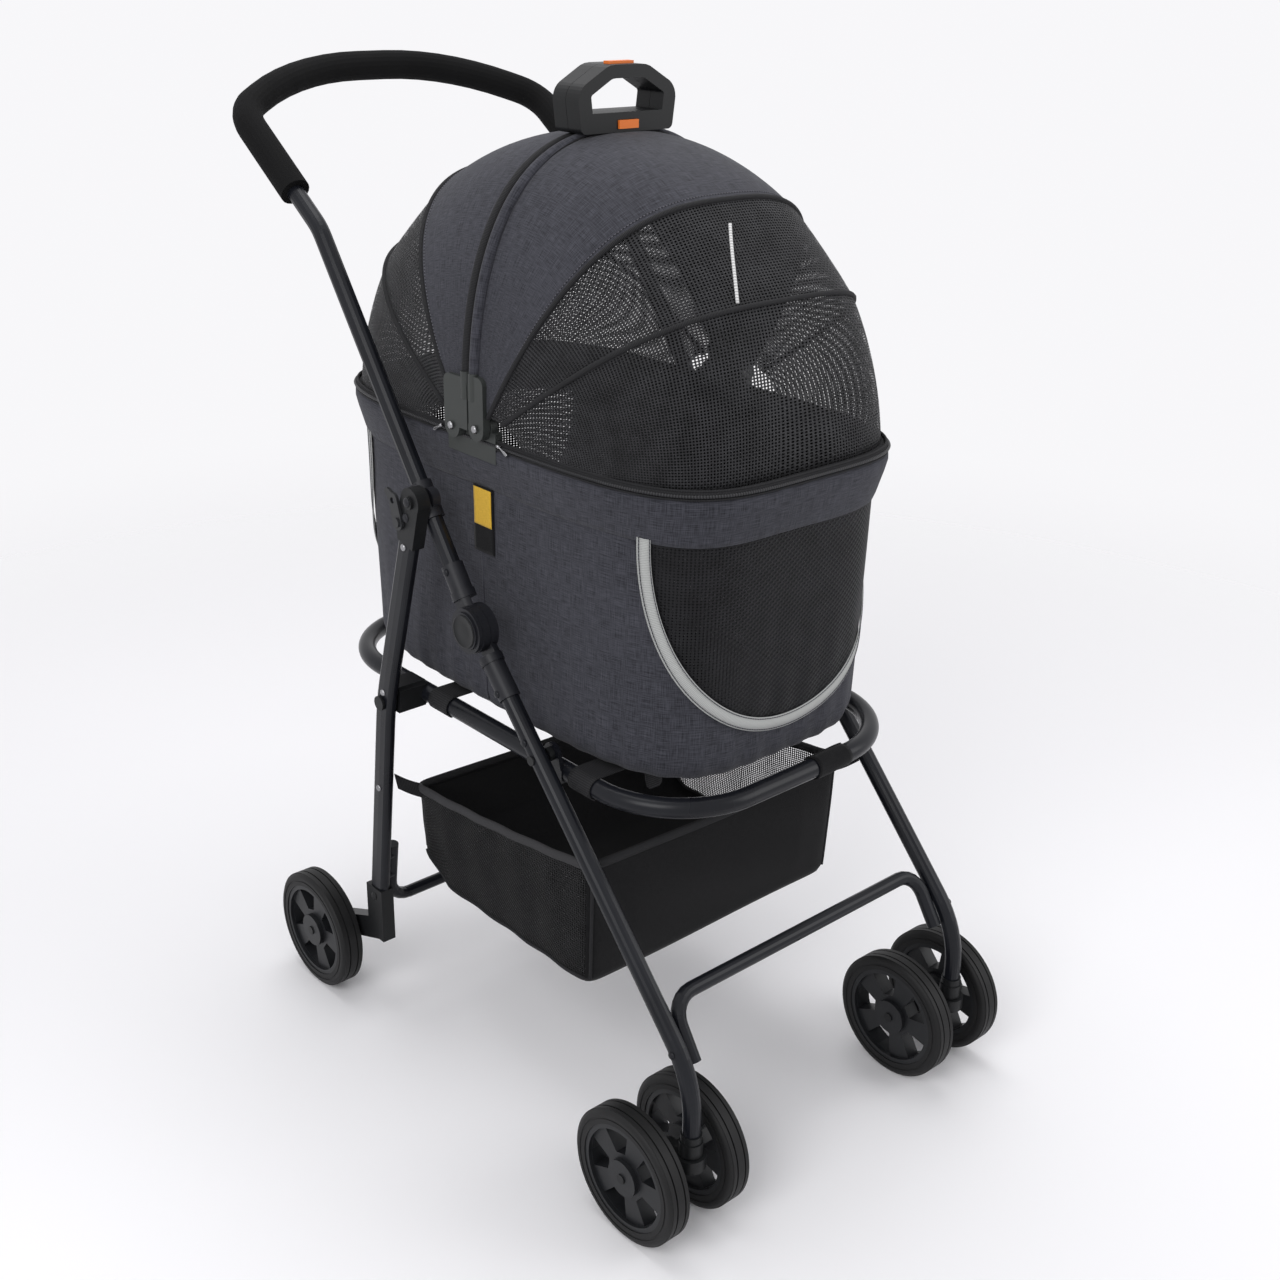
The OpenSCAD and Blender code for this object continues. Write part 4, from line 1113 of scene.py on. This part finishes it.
def zip_pull(name, at, outward, down):
    """A slider with a tapered pull that hangs from it."""
    out = Vector(outward).normalized()
    fall = Vector(down).normalized()
    side = out.cross(fall).normalized()
    rows = []
    for along, wide, thick in PULL_PROFILE:
        centre = Vector(at) + fall * along * PULL_SIZE + out * 0.0016
        half = side * wide * PULL_SIZE
        rows.append([tuple(centre + half * math.cos(a) + out * thick * math.sin(a)) for a in turns(16)])
    made = grid_object(name, np.array(rows), [STEEL], closed=True)
    attach(made, "carrier")


for side, word in reversed(SIDES):
    for number, y, lean in ((1, 0.028, 1), (2, -0.064, -1)):
        at = (side * (RIM_A + 0.001), y, RIM_Z + 0.006)
        zip_pull(f"zip_pull_{word}_{number}", at, (side, 0, 0.3), (0, lean, -0.5))

# ---------- stage ----------


def seen_ray(tree):
    """1 for the rays that see the backdrop itself: camera, glossy and transmission."""
    path = node(tree, "ShaderNodeLightPath")
    seen = math_node(tree, "MAXIMUM", path.outputs["Is Camera Ray"], path.outputs["Is Glossy Ray"])
    return math_node(tree, "MAXIMUM", seen, path.outputs["Is Transmission Ray"])


FLOOR_TONE = (0.94, 0.935, 0.955, 1)


def stage_material():
    """White floor that fades out with distance from the object and keeps its shadow."""
    material, tree, shader = new_material("studio_floor")
    shader.inputs["Roughness"].default_value = 0.7
    seen = seen_ray(tree)
    mix = node(tree, "ShaderNodeMix")
    mix.data_type = "RGBA"
    mix.inputs[6].default_value = (0.72, 0.715, 0.73, 1)
    mix.inputs[7].default_value = FLOOR_TONE
    tree.links.new(seen, mix.inputs["Factor"])
    tree.links.new(mix.outputs[2], shader.inputs["Base Color"])
    coordinates = node(tree, "ShaderNodeTexCoord")
    length = node(tree, "ShaderNodeVectorMath", operation="LENGTH")
    tree.links.new(coordinates.outputs["Object"], length.inputs[0])
    fade = node(tree, "ShaderNodeMapRange")
    fade.interpolation_type = "SMOOTHSTEP"
    fade.inputs["From Min"].default_value = 0.75
    fade.inputs["From Max"].default_value = 2.4
    fade.inputs["To Min"].default_value = 1.0
    fade.inputs["To Max"].default_value = 0.0
    tree.links.new(length.outputs["Value"], fade.inputs["Value"])
    tree.links.new(fade.outputs["Result"], shader.inputs["Alpha"])
    return material


floor_rings = []
for radius in (0.001, 0.4, 0.9, 1.6, 2.6):
    floor_rings.append([(radius * math.cos(a), radius * math.sin(a), 0) for a in turns(64)])
floor = grid_object("studio_floor", np.array(floor_rings), [stage_material()], closed=True, flip=True)

world = bpy.data.worlds.new("studio")
bpy.context.scene.world = world
world.use_nodes = True
tree = world.node_tree
background = tree.nodes["Background"]
strength = node(tree, "ShaderNodeMapRange")
strength.inputs["To Min"].default_value = 0.55
strength.inputs["To Max"].default_value = 0.95
tree.links.new(seen_ray(tree), strength.inputs["Value"])
tree.links.new(strength.outputs["Result"], background.inputs["Strength"])
background.inputs["Color"].default_value = (0.985, 0.98, 1.0, 1)


def soft_light(name, place_at, aim, size, power):
    data = bpy.data.lights.new(name, "AREA")
    data.shape = "SQUARE"
    data.size = size
    data.energy = power
    made = bpy.data.objects.new(name, data)
    made.location = place_at
    made.rotation_euler = (Vector(aim) - Vector(place_at)).to_track_quat("-Z", "Y").to_euler()
    bpy.context.scene.collection.objects.link(made)


soft_light("key", (-2.3, -1.0, 2.2), (0, 0, 0.5), 1.6, 34)
soft_light("fill", (1.8, -2.2, 1.6), (0, 0, 0.5), 1.8, 22)
soft_light("top", (0.2, 0.6, 3.0), (0, 0, 0.4), 2.0, 30)

# ---------- camera ----------

CAMERA_AT = Vector((-1.0445, -1.2321, 1.1451))
CAMERA_AIM = Vector((0.0025, -0.0723, 0.470))
CAMERA_ROLL = math.radians(1.1)
camera_data = bpy.data.cameras.new("camera")
camera_data.lens = 45.34
camera_data.sensor_width = 36
camera = bpy.data.objects.new("camera", camera_data)
bpy.context.scene.collection.objects.link(camera)
forward = (CAMERA_AIM - CAMERA_AT).normalized()
level_right = forward.cross(Vector((0, 0, 1))).normalized()
level_up = level_right.cross(forward)
right = level_right * math.cos(CAMERA_ROLL) + level_up * math.sin(CAMERA_ROLL)
up = right.cross(forward)
camera.matrix_world = Matrix((
    (right.x, up.x, -forward.x, CAMERA_AT.x),
    (right.y, up.y, -forward.y, CAMERA_AT.y),
    (right.z, up.z, -forward.z, CAMERA_AT.z),
    (0, 0, 0, 1),
))
bpy.context.scene.camera = camera
bpy.context.scene.view_settings.view_transform = "Standard"
